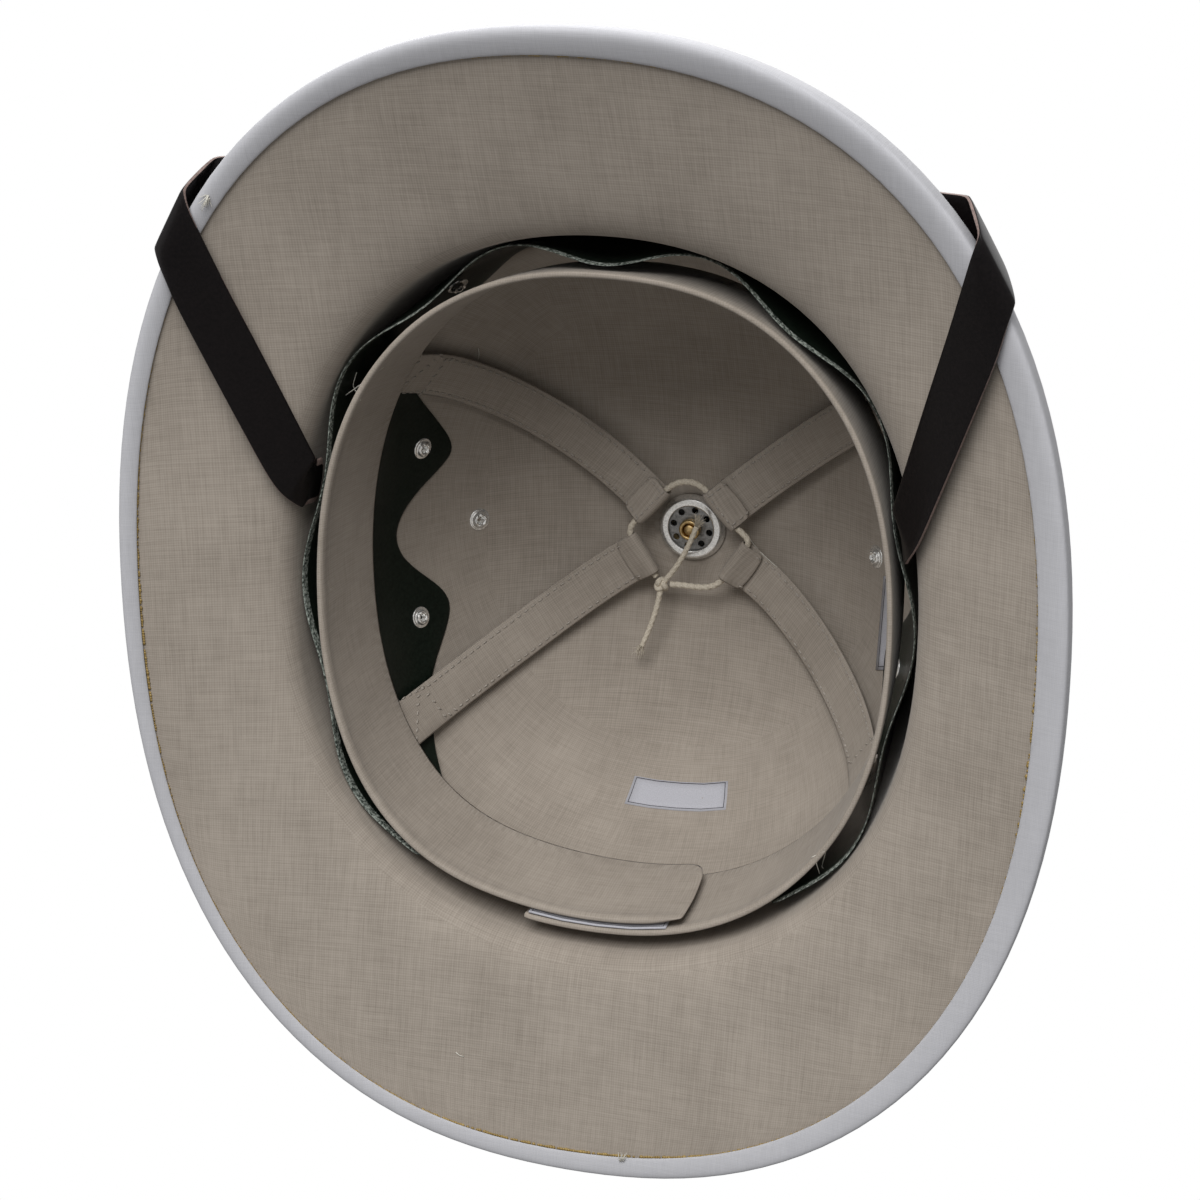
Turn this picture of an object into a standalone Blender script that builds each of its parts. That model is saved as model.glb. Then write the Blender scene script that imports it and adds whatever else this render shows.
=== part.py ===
"""Cloth-covered cork sun helmet, standing on the edge of its brim.

+Z is up and the crown points up. The front of the brim is at -Y and the rear at +Y.
The origin lies on the table, under the middle of the brim. Lengths are in metres.
"""

import math

import bmesh
import bpy
from mathutils import Matrix, Vector
from mathutils.geometry import interpolate_bezier

# ---------------------------------------------------------------- driving dimensions

CLEARANCE = 0.0003          # between pieces that touch
FACETS = 36                 # facets round the shell
CROWN_ROWS = 7              # rows of facets from the brim to the ventilator
PANELS = 6                  # cloth panels on the crown

# Headband: the oval that fits the head, measured on its outer face at the lower edge.
HEAD_HALF_WIDTH = 0.0890
HEAD_HALF_LENGTH = 0.1008
HEAD_SQUARENESS = 2.30
HEAD_OFFSET = 0.0012        # the head oval sits this far behind the brim's middle
HEADBAND_HEIGHT = 0.0380
HEADBAND_WALL = 0.0012
HEADBAND_LEAN = 0.0035      # the upper edge leans in by this much
HEADBAND_FOLD = 0.0022      # thickness of the rolled lower edge
HEADBAND_LAP = math.radians(34.0)
HEADBAND_LAP_END = math.radians(70.0)
HEADBAND_LAP_RAMP = math.radians(30.0)      # over this turn the band steps in to lap itself
HEADBAND_LAP_ROOM = 0.0014  # room between the lapped ends, where the size patch lies
HEAD_EDGE_HEIGHT = 0.0295   # lower edge of the headband above the table
HEAD_RISE = 0.060           # rise of that edge towards the front, per metre

# Crown and brim
AIR_GAP_FRONT = 0.0100      # open space between the headband and the crown wall, at the front
AIR_GAP_SIDE = 0.0068
AIR_GAP_REAR = 0.0055
CROWN_DEPTH = 0.1080        # from the headband's lower edge to the lining at the top
CROWN_FULLNESS = 0.90       # below 1 fills the shoulders of the crown out
SHELL_WALL = 0.0065
LINING_CLOTH = 0.0006
COVER_CLOTH = 0.0008
RIM_HALF_WIDTH = 0.1415
RIM_HALF_LENGTH = 0.1715
RIM_SQUARENESS = 2.33
RIM_SIDE_LIFT = 0.0036      # the rim is this much higher at the sides
RIM_FLAT = 0.25             # share of the half width, front and rear, that rests on the table
BRIM_LIP = 0.0110           # how far the crown wall runs down before it turns out
BRIM_KNEE_REACH = 0.40      # where the brim's curve straightens, as a share of its width
BRIM_KNEE_DROP = 0.45       # and how far down it is there, as a share of its drop
BRIM_TAPER = 0.0018         # the brim is this much thinner at its rim
PANEL_SEAM = math.radians(0.30)
CLOTH_END = 0.05            # crown cloth and brim cloth stop this share of a facet short of the corner

# Binding tape round the rim
TAPE = 0.0008
TAPE_UNDER = 0.0046         # width of tape under the brim
TAPE_OVER = 0.0080          # width of tape on top of the brim
TAPE_LAND = 0.0020          # flat width on which the helmet stands

# Pleated cloth hat band round the foot of the crown
BAND_PLEATS = 6
BAND_LOW = 0.0060
BAND_HEIGHT = 0.0480
BAND_CLOTH = 0.0020
PLEAT_STEP = 0.0012
PLEAT_FACE = 0.92           # share of a pleat's height that shows its flat face
BAND_FACET_ROOM = 0.0002    # keeps the band's facets off the cover's

# Spacer strip that holds the headband off the crown
STRIP_TABS = 7              # riveted tabs, from side to side round the front
STRIP_PITCH = math.radians(36.0)
STRIP_CLOTH = 0.0008
STRIP_BOTTOM = 0.0015       # lower edge above the headband's lower edge
STRIP_CONTACT = 0.0530      # from here up the strip lies on the crown wall
STRIP_VALLEY = 0.0560       # upper edge between the tabs
STRIP_TAB = 0.0200          # height of a tab above the valleys
STRIP_END_HEIGHT = 0.0300   # upper edge at the strip's two ends
STRIP_FACET_ROOM = 0.0004   # keeps the strip's outer folds off the flat facets of the wall
STRIP_STATIONS = 64
STRIP_DROPS = (0.0, 0.0, 0.0260, 0.0140, 0.0260, 0.0, 0.0)      # how much lower each tab sits
STRIP_END_RISES = (0.01, 0.02)      # steps of the free ends' upper edge, as shares of their height

# Rivets
RIVET_HEIGHT = 0.0630       # tab rivets above the headband's lower edge
RIVET_FLANGE = 0.0032
RIVET_DOME = 0.0019
RIVET_SHANK = 0.0011
RIVET_LENGTH = 0.0045
RIVET_FACETS = 8
SIDE_RIVET_HEIGHT = 0.0840
SIDE_RIVET_FLANGE = 0.0036

# Ventilator
VENT_SETBACK = 0.0050       # the crown's highest point is this far behind the middle of the head
VENT_PLACE = HEAD_OFFSET + VENT_SETBACK
VENT_BORE = 0.0096
VENT_TUBE_WALL = 0.0008
VENT_FLANGE = 0.0115
VENT_FLANGE_THICKNESS = 0.0010
VENT_LIP = 0.0030           # how far the inner collar stands out of the lining
DISC_THICKNESS = 0.0008
DISC_HOLES = 8
DISC_HOLE_RADIUS = 0.0011
DISC_HOLE_CIRCLE = 0.0062
DISC_HOLE_TURN = math.radians(11.0)
NUT_RADIUS = 0.0036
NUT_HEIGHT = 0.0030
STEM_RADIUS = 0.0018
CAP_RADIUS = 0.0165
CAP_HEIGHT = 0.0075
CAP_WALL = 0.0010
CAP_AIR_GAP = 0.0025        # open height under the cap's skirt
BUSH_RISE = 0.0030          # how far the nut's bush stands above the disc
WASHER_RADIUS = 0.0050
WASHER_THICKNESS = 0.0012
CAP_BOSS = 0.0035           # radius of the boss inside the cap

# Crown straps and their drawcord
STRAP_WIDTH = 0.0165
STRAP_CLOTH = 0.0012
STRAP_OFFSET = 0.0046       # from the crown lining to the middle of the strap, low down
STRAP_END_OFFSET = 0.0085   # the same at the strap's upper end
STRAP_ROOT = math.radians(34.0)     # in front of or behind the side, seen from above
STRAP_TAIL = 0.0100         # how far the strap runs down behind the headband
STRAP_HEM = 0.0022          # radius of the hem that holds the drawcord
STRAP_HEM_SEAM = 0.0070     # from the hem's middle to its stitched edge
STRAP_HEM_CLOSE = 0.3       # share of the hem's radius by which it still gapes short of its seam
STRAP_HEM_MOUTH = 0.6       # share of the way to the seam at which it gapes so
STRAP_STATIONS = 9
CORD_RADIUS = 0.0010
CORD_SLACK = 0.35           # how far the bows between the straps swing out
CORD_BOW_POINTS = 8
CORD_EXIT = 0.0004          # the cord bends this far outside a hem
KNOT_RADIUS = 0.0028
TAIL_DROP = Vector((-0.0055, 0.0210, -0.0040))      # short tail, from the knot to the frayed end
TAIL_SAG = Vector((0.0030, 0.0000, 0.0000))
LONG_TAIL = Vector((0.0120, -0.0215, 0.0000))       # long tail, from the knot across the ventilator
LONG_SAG = Vector((0.0030, 0.0030, 0.0000))

# Each crown strap: side and end of the helmet, angle of its upper end, and its distance
# from the crown's axis.
CROWN_STRAPS = {
    "crown_strap_front_left": (-1, -1, math.radians(39.0), 0.0150),
    "crown_strap_front_right": (1, -1, math.radians(36.0), 0.0165),
    "crown_strap_rear_left": (-1, 1, math.radians(28.0), 0.0170),
    "crown_strap_rear_right": (1, 1, math.radians(22.0), 0.0205),
}

# Labels: the patch on the crown lining, and the one between the headband's lapped ends
LABEL_CLOTH = 0.0004
LABEL_ANGLE = math.radians(85.0)
LABEL_HALF_TURN = math.radians(12.5)
LABEL_LOW = 0.0710          # above the headband's lower edge
LABEL_HIGH = 0.0800
PATCH_START_SHARE = 0.12          # shares of the lap, from the flap's end
PATCH_END_SHARE = 0.97
PATCH_LOW = 0.0005
PATCH_HIGH = 0.0095

# Chin strap
CHIN_WIDTH = 0.0155
CHIN_LEATHER = 0.0016
CHIN_ANCHOR = math.radians(17.0)    # in front of the side, seen from above
CHIN_RIM = math.radians(37.0)       # where it meets the rim from below
CHIN_TWIST = 0.4            # share of the way from the rim to the front over which it turns upright
CHIN_ARCH_STATIONS = 10     # along the arch from the rim to the crown's front
CHIN_BAND_STAND = 0.0008    # the strap stands off the hat band by this much
CHIN_TAIL = 0.0080          # how far the strap runs up inside the crown
CHIN_TAIL_FOOT = 0.0030     # and where it leaves the crown wall
CHIN_CROWN_HEIGHT = 0.0300  # where it crosses the hat band, above the headband's lower edge
CHIN_LIFT = 0.0006          # the strap stands off the tape it wraps by this much
CHIN_STAND = 0.0014         # and by this much more off the lining, where it bends round the lip
CHIN_LIP = (0.02, 0.10, 0.18)       # shares of the brim's width over which it bends round the lip
CHIN_LIP_TURN = 0.6         # how fast it turns to the front there, as a share of its whole turn
CHIN_UNDER_ROOM = 1.3       # room it takes below the tape, above it, and where it leaves it,
CHIN_OVER_ROOM = 1.4        # as shares of the room it takes at the rim's edge
CHIN_LEAVE_ROOM = 1.2
CHIN_LEAVE_SLOPE = 0.5
CHIN_CORNER = 0.9
CHIN_LAND = 0.0020          # distance inside the rim over which it runs level

# ---------------------------------------------------------------- shared geometry

UP = Vector((0.0, 0.0, 1.0))
FRONT_ANGLE = math.radians(-90.0)


def oval(angle, half_width, half_length, squareness, offset=0.0):
    """Point of a squarish oval at an angle from +X towards +Y."""
    cosine = math.cos(angle)
    sine = math.sin(angle)
    size = (abs(cosine) ** squareness + abs(sine) ** squareness) ** (-1.0 / squareness)
    return Vector((half_width * cosine * size, half_length * sine * size + offset, 0.0))


def head_oval(angle, grow=0.0):
    return oval(angle, HEAD_HALF_WIDTH + grow, HEAD_HALF_LENGTH + grow, HEAD_SQUARENESS, HEAD_OFFSET)


def air_gap(angle):
    """Open space between the headband and the crown wall, widest at the front."""
    sine = math.sin(angle)
    end_gap = AIR_GAP_FRONT if sine < 0.0 else AIR_GAP_REAR
    return AIR_GAP_SIDE + (end_gap - AIR_GAP_SIDE) * sine * sine


def rim_oval(angle, inset=0.0):
    return oval(angle, RIM_HALF_WIDTH - inset, RIM_HALF_LENGTH - inset, RIM_SQUARENESS)


def rim_lift(angle):
    """Height of the rim's lower edge: flat on the table at front and rear, raised at the sides."""
    share = max(abs(math.cos(angle)) - RIM_FLAT, 0.0) / (1.0 - RIM_FLAT)
    return RIM_SIDE_LIFT * share * share * (3.0 - 2.0 * share)


def head_level(point):
    """Height of the headband's lower edge at a place in plan."""
    return HEAD_EDGE_HEIGHT - HEAD_RISE * point.y


def crown_point(angle, lift, out):
    """Point of the crown, from lift 0 at the brim to lift 1 at the ventilator.

    out is the distance outside the face of the lining.
    """
    foot = head_oval(angle, air_gap(angle) + out)
    bore = Vector((VENT_BORE * math.cos(angle), VENT_BORE * math.sin(angle) + VENT_PLACE, 0.0))
    turn = lift * math.pi / 2.0
    spread = max(math.cos(turn), 0.0) ** CROWN_FULLNESS
    rise = math.sin(turn) ** CROWN_FULLNESS
    place = bore.lerp(foot, spread)
    low = head_level(foot) + out
    top = HEAD_EDGE_HEIGHT + CROWN_DEPTH + out
    place.z = low + (top - low) * rise
    return place


def solve(rising, target):
    """Value from 0 to 1 at which a rising function reaches its target."""
    low, high = 0.0, 1.0
    for _ in range(30):
        middle = (low + high) / 2.0
        if rising(middle) < target:
            low = middle
        else:
            high = middle
    return (low + high) / 2.0


def crown_lift(angle, height):
    """Lift at which the crown lining stands a height above the headband's lower edge."""
    def stand(lift):
        place = crown_point(angle, lift, 0.0)
        return place.z - head_level(place)
    return solve(stand, height)


def wall_point(angle, height, out):
    """Point of the crown's flat facets at a height above the headband's lower edge."""
    column = angle / (2.0 * math.pi) * FACETS
    row = crown_lift(angle, height) * CROWN_ROWS
    left, low = math.floor(column), min(math.floor(row), CROWN_ROWS - 1)
    corners = [crown_point((left + side) * 2.0 * math.pi / FACETS, (low + step) / CROWN_ROWS, out)
               for step in (0, 1) for side in (0, 1)]
    below = corners[0].lerp(corners[1], column - left)
    above = corners[2].lerp(corners[3], column - left)
    return below.lerp(above, row - low)


def crown_normal(angle, lift, out=0.0):
    """Unit vector out of the crown wall, towards the outside."""
    step = 0.004
    along = crown_point(angle + step, lift, out) - crown_point(angle - step, lift, out)
    upward = crown_point(angle, min(lift + step, 1.0), out) - crown_point(angle, max(lift - step, 0.0), out)
    return along.cross(upward).normalized()


def brim_point(angle, reach, out, taper=0.0):
    """Point of the brim, from reach 0 at the crown to reach 1 at the rim."""
    foot = head_oval(angle, air_gap(angle) + out)
    rim = rim_oval(angle, TAPE + CLEARANCE)
    low = head_level(foot)
    floor = TAPE + CLEARANCE + rim_lift(angle)
    knee = low + (floor - low) * BRIM_KNEE_DROP
    side = (1.0 - reach)
    weights = (side ** 3, 3 * side * side * reach, 3 * side * reach * reach, reach ** 3)
    spread = weights[2] * BRIM_KNEE_REACH + weights[3]
    place = foot.lerp(rim, spread)
    heights = (low, low - BRIM_LIP, knee, floor)
    place.z = sum(w * h for w, h in zip(weights, heights)) + out - taper * reach
    return place


def brim_normal(angle, reach, out=0.0):
    """Unit vector down out of the brim's underside."""
    step = 0.004
    along = brim_point(angle + step, reach, out) - brim_point(angle - step, reach, out)
    outward = brim_point(angle, min(reach + step, 1.0), out) - brim_point(angle, max(reach - step, 0.0), out)
    return outward.cross(along).normalized() * -1.0


def spaced(start, end, count):
    """count + 1 even values from start to end."""
    return [start + (end - start) * step / count for step in range(count + 1)]


# ---------------------------------------------------------------- modelling tools


def material(name, colour, roughness, metallic=0.0):
    made = bpy.data.materials.new(name)
    made.use_nodes = True
    shader = made.node_tree.nodes["Principled BSDF"]
    shader.inputs["Base Color"].default_value = (*colour, 1.0)
    shader.inputs["Roughness"].default_value = roughness
    shader.inputs["Metallic"].default_value = metallic
    return made


def add_object(name, mesh_data, finish, smooth=math.radians(35.0)):
    """Turn a bmesh into a named object with its faces pointing out."""
    bmesh.ops.recalc_face_normals(mesh_data, faces=mesh_data.faces)
    mesh = bpy.data.meshes.new(name)
    mesh_data.to_mesh(mesh)
    mesh_data.free()
    mesh.materials.append(finish)
    mesh.shade_smooth()
    mesh.set_sharp_from_angle(angle=smooth)
    made = bpy.data.objects.new(name, mesh)
    bpy.context.scene.collection.objects.link(made)
    return made


def loft(name, rings, finish, closed=False):
    """Skin a row of matching loops, and cap the ends unless the row is closed.

    Each facet is split along its shorter diagonal, so that nested layers bend alike.
    """
    mesh_data = bmesh.new()
    loops = [[mesh_data.verts.new(point) for point in ring] for ring in rings]
    pairs = list(zip(loops, loops[1:]))
    if closed:
        pairs.append((loops[-1], loops[0]))
    for near, far in pairs:
        for step in range(len(near)):
            following = (step + 1) % len(near)
            corners = (near[step], near[following], far[following], far[step])
            one_way = (corners[0].co - corners[2].co).length
            other_way = (corners[1].co - corners[3].co).length
            start = 0 if one_way < other_way else 1
            for second, third in ((1, 2), (2, 3)):
                mesh_data.faces.new([corners[(start + turn) % 4] for turn in (0, second, third)])
    if not closed:
        mesh_data.faces.new(loops[0])
        mesh_data.faces.new(reversed(loops[-1]))
    return add_object(name, mesh_data, finish)


def ribbon(name, path, width, thickness, finish):
    """Flat strap along a path of (point, normal, fold) places.

    fold is None where the strap is cut square, or half of its slanting cut where it folds
    over an edge.
    """
    rings = []
    last = len(path) - 1
    for index, (point, normal, fold) in enumerate(path):
        ahead = path[min(index + 1, last)][0]
        behind = path[max(index - 1, 0)][0]
        tangent = (ahead - behind).normalized()
        side = fold or tangent.cross(normal).normalized() * (width / 2.0)
        face = side.cross(tangent).normalized() * (thickness / 2.0)
        rings.append([point - side - face, point + side - face, point + side + face, point - side + face])
    return loft(name, rings, finish)


def turned(name, outline, finish, place, axis=UP, facets=24):
    """Spin an outline of (radius, height) points about an axis through a place."""
    turn = axis.to_track_quat("Z", "Y").to_matrix().to_4x4()
    mesh_data = bmesh.new()
    points = [mesh_data.verts.new((radius, 0.0, height)) for radius, height in outline]
    edges = [mesh_data.edges.new(pair) for pair in zip(points, points[1:])]
    open_ends = outline[0][0] == 0.0 and outline[-1][0] == 0.0
    if not open_ends:
        edges.append(mesh_data.edges.new((points[-1], points[0])))
    bmesh.ops.spin(mesh_data, geom=points + edges, axis=UP, cent=(0.0, 0.0, 0.0), angle=2.0 * math.pi,
                   steps=facets, use_merge=True)
    bmesh.ops.remove_doubles(mesh_data, verts=mesh_data.verts, dist=1e-6)
    bmesh.ops.transform(mesh_data, matrix=Matrix.Translation(place) @ turn, verts=mesh_data.verts)
    return add_object(name, mesh_data, finish)


def cutter(name, radius, length, place, axis, facets=12):
    """Round drill, centred on a place."""
    outline = [(0.0, -length / 2.0), (radius, -length / 2.0), (radius, length / 2.0), (0.0, length / 2.0)]
    made = turned(name, outline, GUIDE, place, axis, facets)
    made.hide_render = True
    made.display_type = "WIRE"
    return made


def drill(target, drills):
    """Cut every drill out of a piece."""
    for tool in drills:
        cut = target.modifiers.new(tool.name, "BOOLEAN")
        cut.operation = "DIFFERENCE"
        cut.solver = "EXACT"
        cut.object = tool


def cord(name, route, radius, finish):
    """Round cord along a route, with filled ends."""
    curve = bpy.data.curves.new(name, "CURVE")
    curve.dimensions = "3D"
    curve.bevel_depth = radius
    curve.bevel_resolution = 2
    curve.use_fill_caps = True
    spline = curve.splines.new("POLY")
    spline.points.add(len(route) - 1)
    for knot, place in zip(spline.points, route):
        knot.co = (*place, 1.0)
    curve.materials.append(finish)
    made = bpy.data.objects.new(name, curve)
    bpy.context.scene.collection.objects.link(made)
    return made


# ---------------------------------------------------------------- the scene is emptied

for existing in list(bpy.data.objects):
    bpy.data.objects.remove(existing, do_unlink=True)

CORK = material("cork", (0.45, 0.32, 0.20), 0.9)
DRILL_CLOTH = material("beige_drill_cloth", (0.30, 0.26, 0.22), 0.9)
WHITE_CLOTH = material("white_cover_cloth", (0.72, 0.71, 0.68), 0.85)
WHITE_TAPE = material("white_binding_tape", (0.62, 0.62, 0.66), 0.8)
OILCLOTH = material("dark_green_oilcloth", (0.018, 0.024, 0.018), 0.45)
BLACK_LEATHER = material("black_leather", (0.010, 0.009, 0.010), 0.3)
NICKEL = material("nickel_rivet", (0.75, 0.74, 0.70), 0.25, 1.0)
ZINC = material("zinc_disc", (0.30, 0.30, 0.30), 0.45, 1.0)
BRASS = material("brass", (0.70, 0.50, 0.22), 0.35, 1.0)
COTTON = material("cotton_cord", (0.62, 0.56, 0.45), 0.9)
PAPER = material("white_label_cloth", (0.55, 0.56, 0.60), 0.8)
GUIDE = material("guide", (1.0, 0.2, 0.2), 0.5)

# Layers of the shell, as distances outside the face of the lining.
LINING_FACE = 0.0
LINING_BACK = LINING_FACE + LINING_CLOTH
SHELL_FACE = LINING_BACK + CLEARANCE
SHELL_BACK = SHELL_FACE + SHELL_WALL
COVER_FACE = SHELL_BACK + CLEARANCE
COVER_BACK = COVER_FACE + COVER_CLOTH

CROWN_LIFTS = spaced(1.0, 0.0, CROWN_ROWS)
BRIM_REACHES = (0.18, 0.42, 0.72, 1.0)
ROUND = [2.0 * math.pi * step / FACETS for step in range(FACETS)]


def shell_section(angle, inner, outer):
    """Loop round a layer that covers crown and brim in one."""
    below = [crown_point(angle, lift, inner) for lift in CROWN_LIFTS]
    below += [brim_point(angle, reach, inner) for reach in BRIM_REACHES]
    above = [brim_point(angle, reach, outer, BRIM_TAPER) for reach in reversed(BRIM_REACHES)]
    above += [crown_point(angle, lift, outer) for lift in reversed(CROWN_LIFTS)]
    return below + above


loft("shell_body", [shell_section(angle, SHELL_FACE, SHELL_BACK) for angle in ROUND], CORK, closed=True)


# ---------------------------------------------------------------- cloth layers


def crown_layer(angle, inner, outer):
    """Loop round a cloth layer that covers the crown alone, just short of the brim."""
    faces = []
    for out in (inner, outer):
        face = [crown_point(angle, lift, out) for lift in CROWN_LIFTS]
        face[-1] = face[-1].lerp(face[-2], CLOTH_END)
        faces.append(face)
    return faces[0] + list(reversed(faces[1]))


def brim_layer(angle, inner, outer, taper=0.0):
    """Loop round a cloth layer that covers the brim alone, just short of the crown."""
    faces = []
    for out in (inner, outer):
        face = [brim_point(angle, reach, out, taper) for reach in (0.0,) + BRIM_REACHES]
        face[0] = face[0].lerp(face[1], CLOTH_END)
        faces.append(face)
    return faces[0] + list(reversed(faces[1]))


loft("crown_lining", [crown_layer(angle, LINING_FACE, LINING_BACK) for angle in ROUND],
     DRILL_CLOTH, closed=True)
loft("brim_lining", [brim_layer(angle, LINING_FACE, LINING_BACK) for angle in ROUND],
     DRILL_CLOTH, closed=True)
loft("brim_cover", [brim_layer(angle, COVER_FACE, COVER_BACK, BRIM_TAPER) for angle in ROUND],
     WHITE_CLOTH, closed=True)

for panel in range(PANELS):
    first = 2.0 * math.pi * panel / PANELS
    last = 2.0 * math.pi * (panel + 1) / PANELS
    columns = spaced(first, last, FACETS // PANELS)
    columns[0] += PANEL_SEAM
    columns[-1] -= PANEL_SEAM
    loft(f"crown_cover_{panel + 1}", [crown_layer(angle, COVER_FACE, COVER_BACK) for angle in columns],
         WHITE_CLOTH)


# ---------------------------------------------------------------- binding tape round the rim


def rim_facet_point(angle, inset, out, taper=0.0):
    """Point of the brim's outermost facets, by its distance inside the rim."""
    rim = rim_oval(angle)
    outer = brim_point(angle, 1.0, out, taper)
    inner = brim_point(angle, BRIM_REACHES[-2], out, taper)
    outer_inset = (rim.xy - outer.xy).length
    inner_inset = (rim.xy - inner.xy).length
    return outer.lerp(inner, (inset - outer_inset) / (inner_inset - outer_inset))


def binding_top(angle):
    """Height of the tape's upper face at the rim."""
    return brim_point(angle, 1.0, COVER_BACK, BRIM_TAPER).z + CLEARANCE + TAPE


def binding_section(angle):
    """Loop round the folded tape, with a flat land for the helmet to stand on."""
    edge_top = binding_top(angle) - TAPE
    floor = rim_lift(angle)
    corner = TAPE

    def rim_place(inset, height):
        place = rim_oval(angle, inset)
        place.z = height
        return place

    outside = [
        rim_facet_point(angle, TAPE_UNDER, -CLEARANCE - TAPE),
        rim_place(corner + TAPE_LAND, floor),
        rim_place(corner, floor),
        rim_place(0.0, floor + corner),
        rim_place(0.0, edge_top),
        rim_place(corner, edge_top + TAPE),
        rim_facet_point(angle, TAPE_OVER, COVER_BACK + CLEARANCE + TAPE, BRIM_TAPER),
    ]
    inside = [
        rim_facet_point(angle, TAPE_OVER, COVER_BACK + CLEARANCE, BRIM_TAPER),
        rim_place(TAPE, edge_top),
        rim_place(TAPE, floor + TAPE),
        rim_facet_point(angle, TAPE_UNDER, -CLEARANCE),
    ]
    return outside + inside


loft("brim_binding", [binding_section(angle) for angle in ROUND], WHITE_TAPE, closed=True)


# ---------------------------------------------------------------- pleated hat band


def hat_band_section(angle):
    """Loop round the band: flat inside, lapped pleats outside."""
    face = COVER_BACK + CLEARANCE + BAND_FACET_ROOM
    pleat = BAND_HEIGHT / BAND_PLEATS
    inner = [crown_point(angle, crown_lift(angle, height), face)
             for height in spaced(BAND_LOW, BAND_LOW + BAND_HEIGHT, 3)]
    outer = []
    for step in reversed(range(BAND_PLEATS)):
        low = crown_lift(angle, BAND_LOW + pleat * step)
        high = crown_lift(angle, BAND_LOW + pleat * (step + PLEAT_FACE))
        outer.append(crown_point(angle, high, face + BAND_CLOTH))
        outer.append(crown_point(angle, low, face + BAND_CLOTH + PLEAT_STEP))
    return inner + outer


loft("hat_band", [hat_band_section(angle) for angle in ROUND], WHITE_CLOTH, closed=True)


# ---------------------------------------------------------------- headband


def band_place(angle, grow, height):
    """Place on the leaning headband, by distance outside its outer face and height."""
    place = head_oval(angle, grow - HEADBAND_LEAN * height / HEADBAND_HEIGHT)
    place.z = head_level(place) + height
    return place


def headband_section(angle, inset):
    fold = HEADBAND_FOLD
    outline = [(0.0, HEADBAND_HEIGHT), (0.0, fold / 3.0), (-fold / 4.0, 0.0), (-fold * 0.75, 0.0),
               (-fold, fold / 3.0), (-fold, fold * 1.3), (-HEADBAND_WALL, fold * 2.0),
               (-HEADBAND_WALL, HEADBAND_HEIGHT)]
    return [band_place(angle, grow - inset, height) for grow, height in outline]


def lap_inset(turned_angle):
    """The band's last stretch steps in, to lie over its beginning at the rear."""
    share = (turned_angle - 2.0 * math.pi) / HEADBAND_LAP_RAMP + 1.0
    share = min(max(share, 0.0), 1.0)
    return (HEADBAND_FOLD + CLEARANCE + HEADBAND_LAP_ROOM) * share * share * (3.0 - 2.0 * share)


HEADBAND_TURN = 2.0 * math.pi + HEADBAND_LAP
loft("headband",
     [headband_section(HEADBAND_LAP_END + HEADBAND_LAP - turned_angle, lap_inset(turned_angle))
      for turned_angle in spaced(0.0, HEADBAND_TURN, 48)], DRILL_CLOTH)


# ---------------------------------------------------------------- spacer strip with riveted tabs

TAB_ANGLES = [FRONT_ANGLE + STRIP_PITCH * (number - (STRIP_TABS - 1) / 2.0) for number in range(STRIP_TABS)]
STRIP_SPAN = STRIP_PITCH * (STRIP_TABS + 1)


def strip_drop(angle):
    """How much lower the strip sits at an angle, even between one tab and the next."""
    number = min(max((angle - TAB_ANGLES[0]) / STRIP_PITCH, 0.0), STRIP_TABS - 1.001)
    before = math.floor(number)
    share = number - before
    return STRIP_DROPS[before] * (1.0 - share) + STRIP_DROPS[before + 1] * share


def strip_section(share):
    """Loop round the strip: from the headband or the crown wall below, to the wall above."""
    angle = FRONT_ANGLE + STRIP_SPAN * (share - 0.5)
    wave = 0.5 - 0.5 * math.cos((angle - TAB_ANGLES[0]) / STRIP_PITCH * 2.0 * math.pi)
    end_share = min(share, 1.0 - share) * (STRIP_TABS + 1)
    top = STRIP_VALLEY + STRIP_TAB * (1.0 - wave) - strip_drop(angle)
    free_end = end_share < 0.5
    if free_end:
        top = STRIP_END_HEIGHT + (STRIP_VALLEY - STRIP_END_HEIGHT) * 2.0 * end_share
    swing = air_gap(angle) - STRIP_CLOTH - 2.0 * CLEARANCE - STRIP_FACET_ROOM
    contact = STRIP_CONTACT - strip_drop(angle)
    reached = min(contact, top - STRIP_CLOTH)
    faces = []
    for depth in (0.0, STRIP_CLOTH):
        foot = band_place(angle, CLEARANCE + swing * wave + depth, STRIP_BOTTOM)
        out = depth - STRIP_CLOTH - CLEARANCE
        join = foot.lerp(wall_point(angle, contact, out), reached / contact)
        bulge = wall_point(angle, (STRIP_BOTTOM + reached) / 2.0, out)
        middle = foot.lerp(join, 0.5).lerp(bulge, wave * reached / contact)
        wall = [wall_point(angle, height, out) for height in spaced(reached, top, 2)[1:]]
        if free_end:
            wall = [join.lerp(foot, -rise) for rise in STRIP_END_RISES]
        faces.append([foot, middle, join] + wall)
    return faces[0] + list(reversed(faces[1]))


STRIP = loft("spacer_strip", [strip_section(share) for share in spaced(0.0, 1.0, STRIP_STATIONS)], OILCLOTH)


# ---------------------------------------------------------------- rivets

def rivet(name, angle, height, flange, seat):
    """Flanged rivet with a domed head, driven outwards into the cork."""
    place = wall_point(angle, height, seat)
    axis = -crown_normal(angle, crown_lift(angle, height))
    outline = [(0.0, -RIVET_LENGTH), (RIVET_SHANK, -RIVET_LENGTH), (RIVET_SHANK, 0.0), (flange, 0.0),
               (flange, flange * 0.2), (RIVET_DOME, flange * 0.3), (0.0, flange * 0.65)]
    turned(name, outline, NICKEL, place, axis, RIVET_FACETS)
    depth = RIVET_LENGTH + CLEARANCE
    return cutter(f"{name}_drill", RIVET_SHANK + 2.0 * CLEARANCE, 2.0 * depth, place, axis, RIVET_FACETS)


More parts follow.
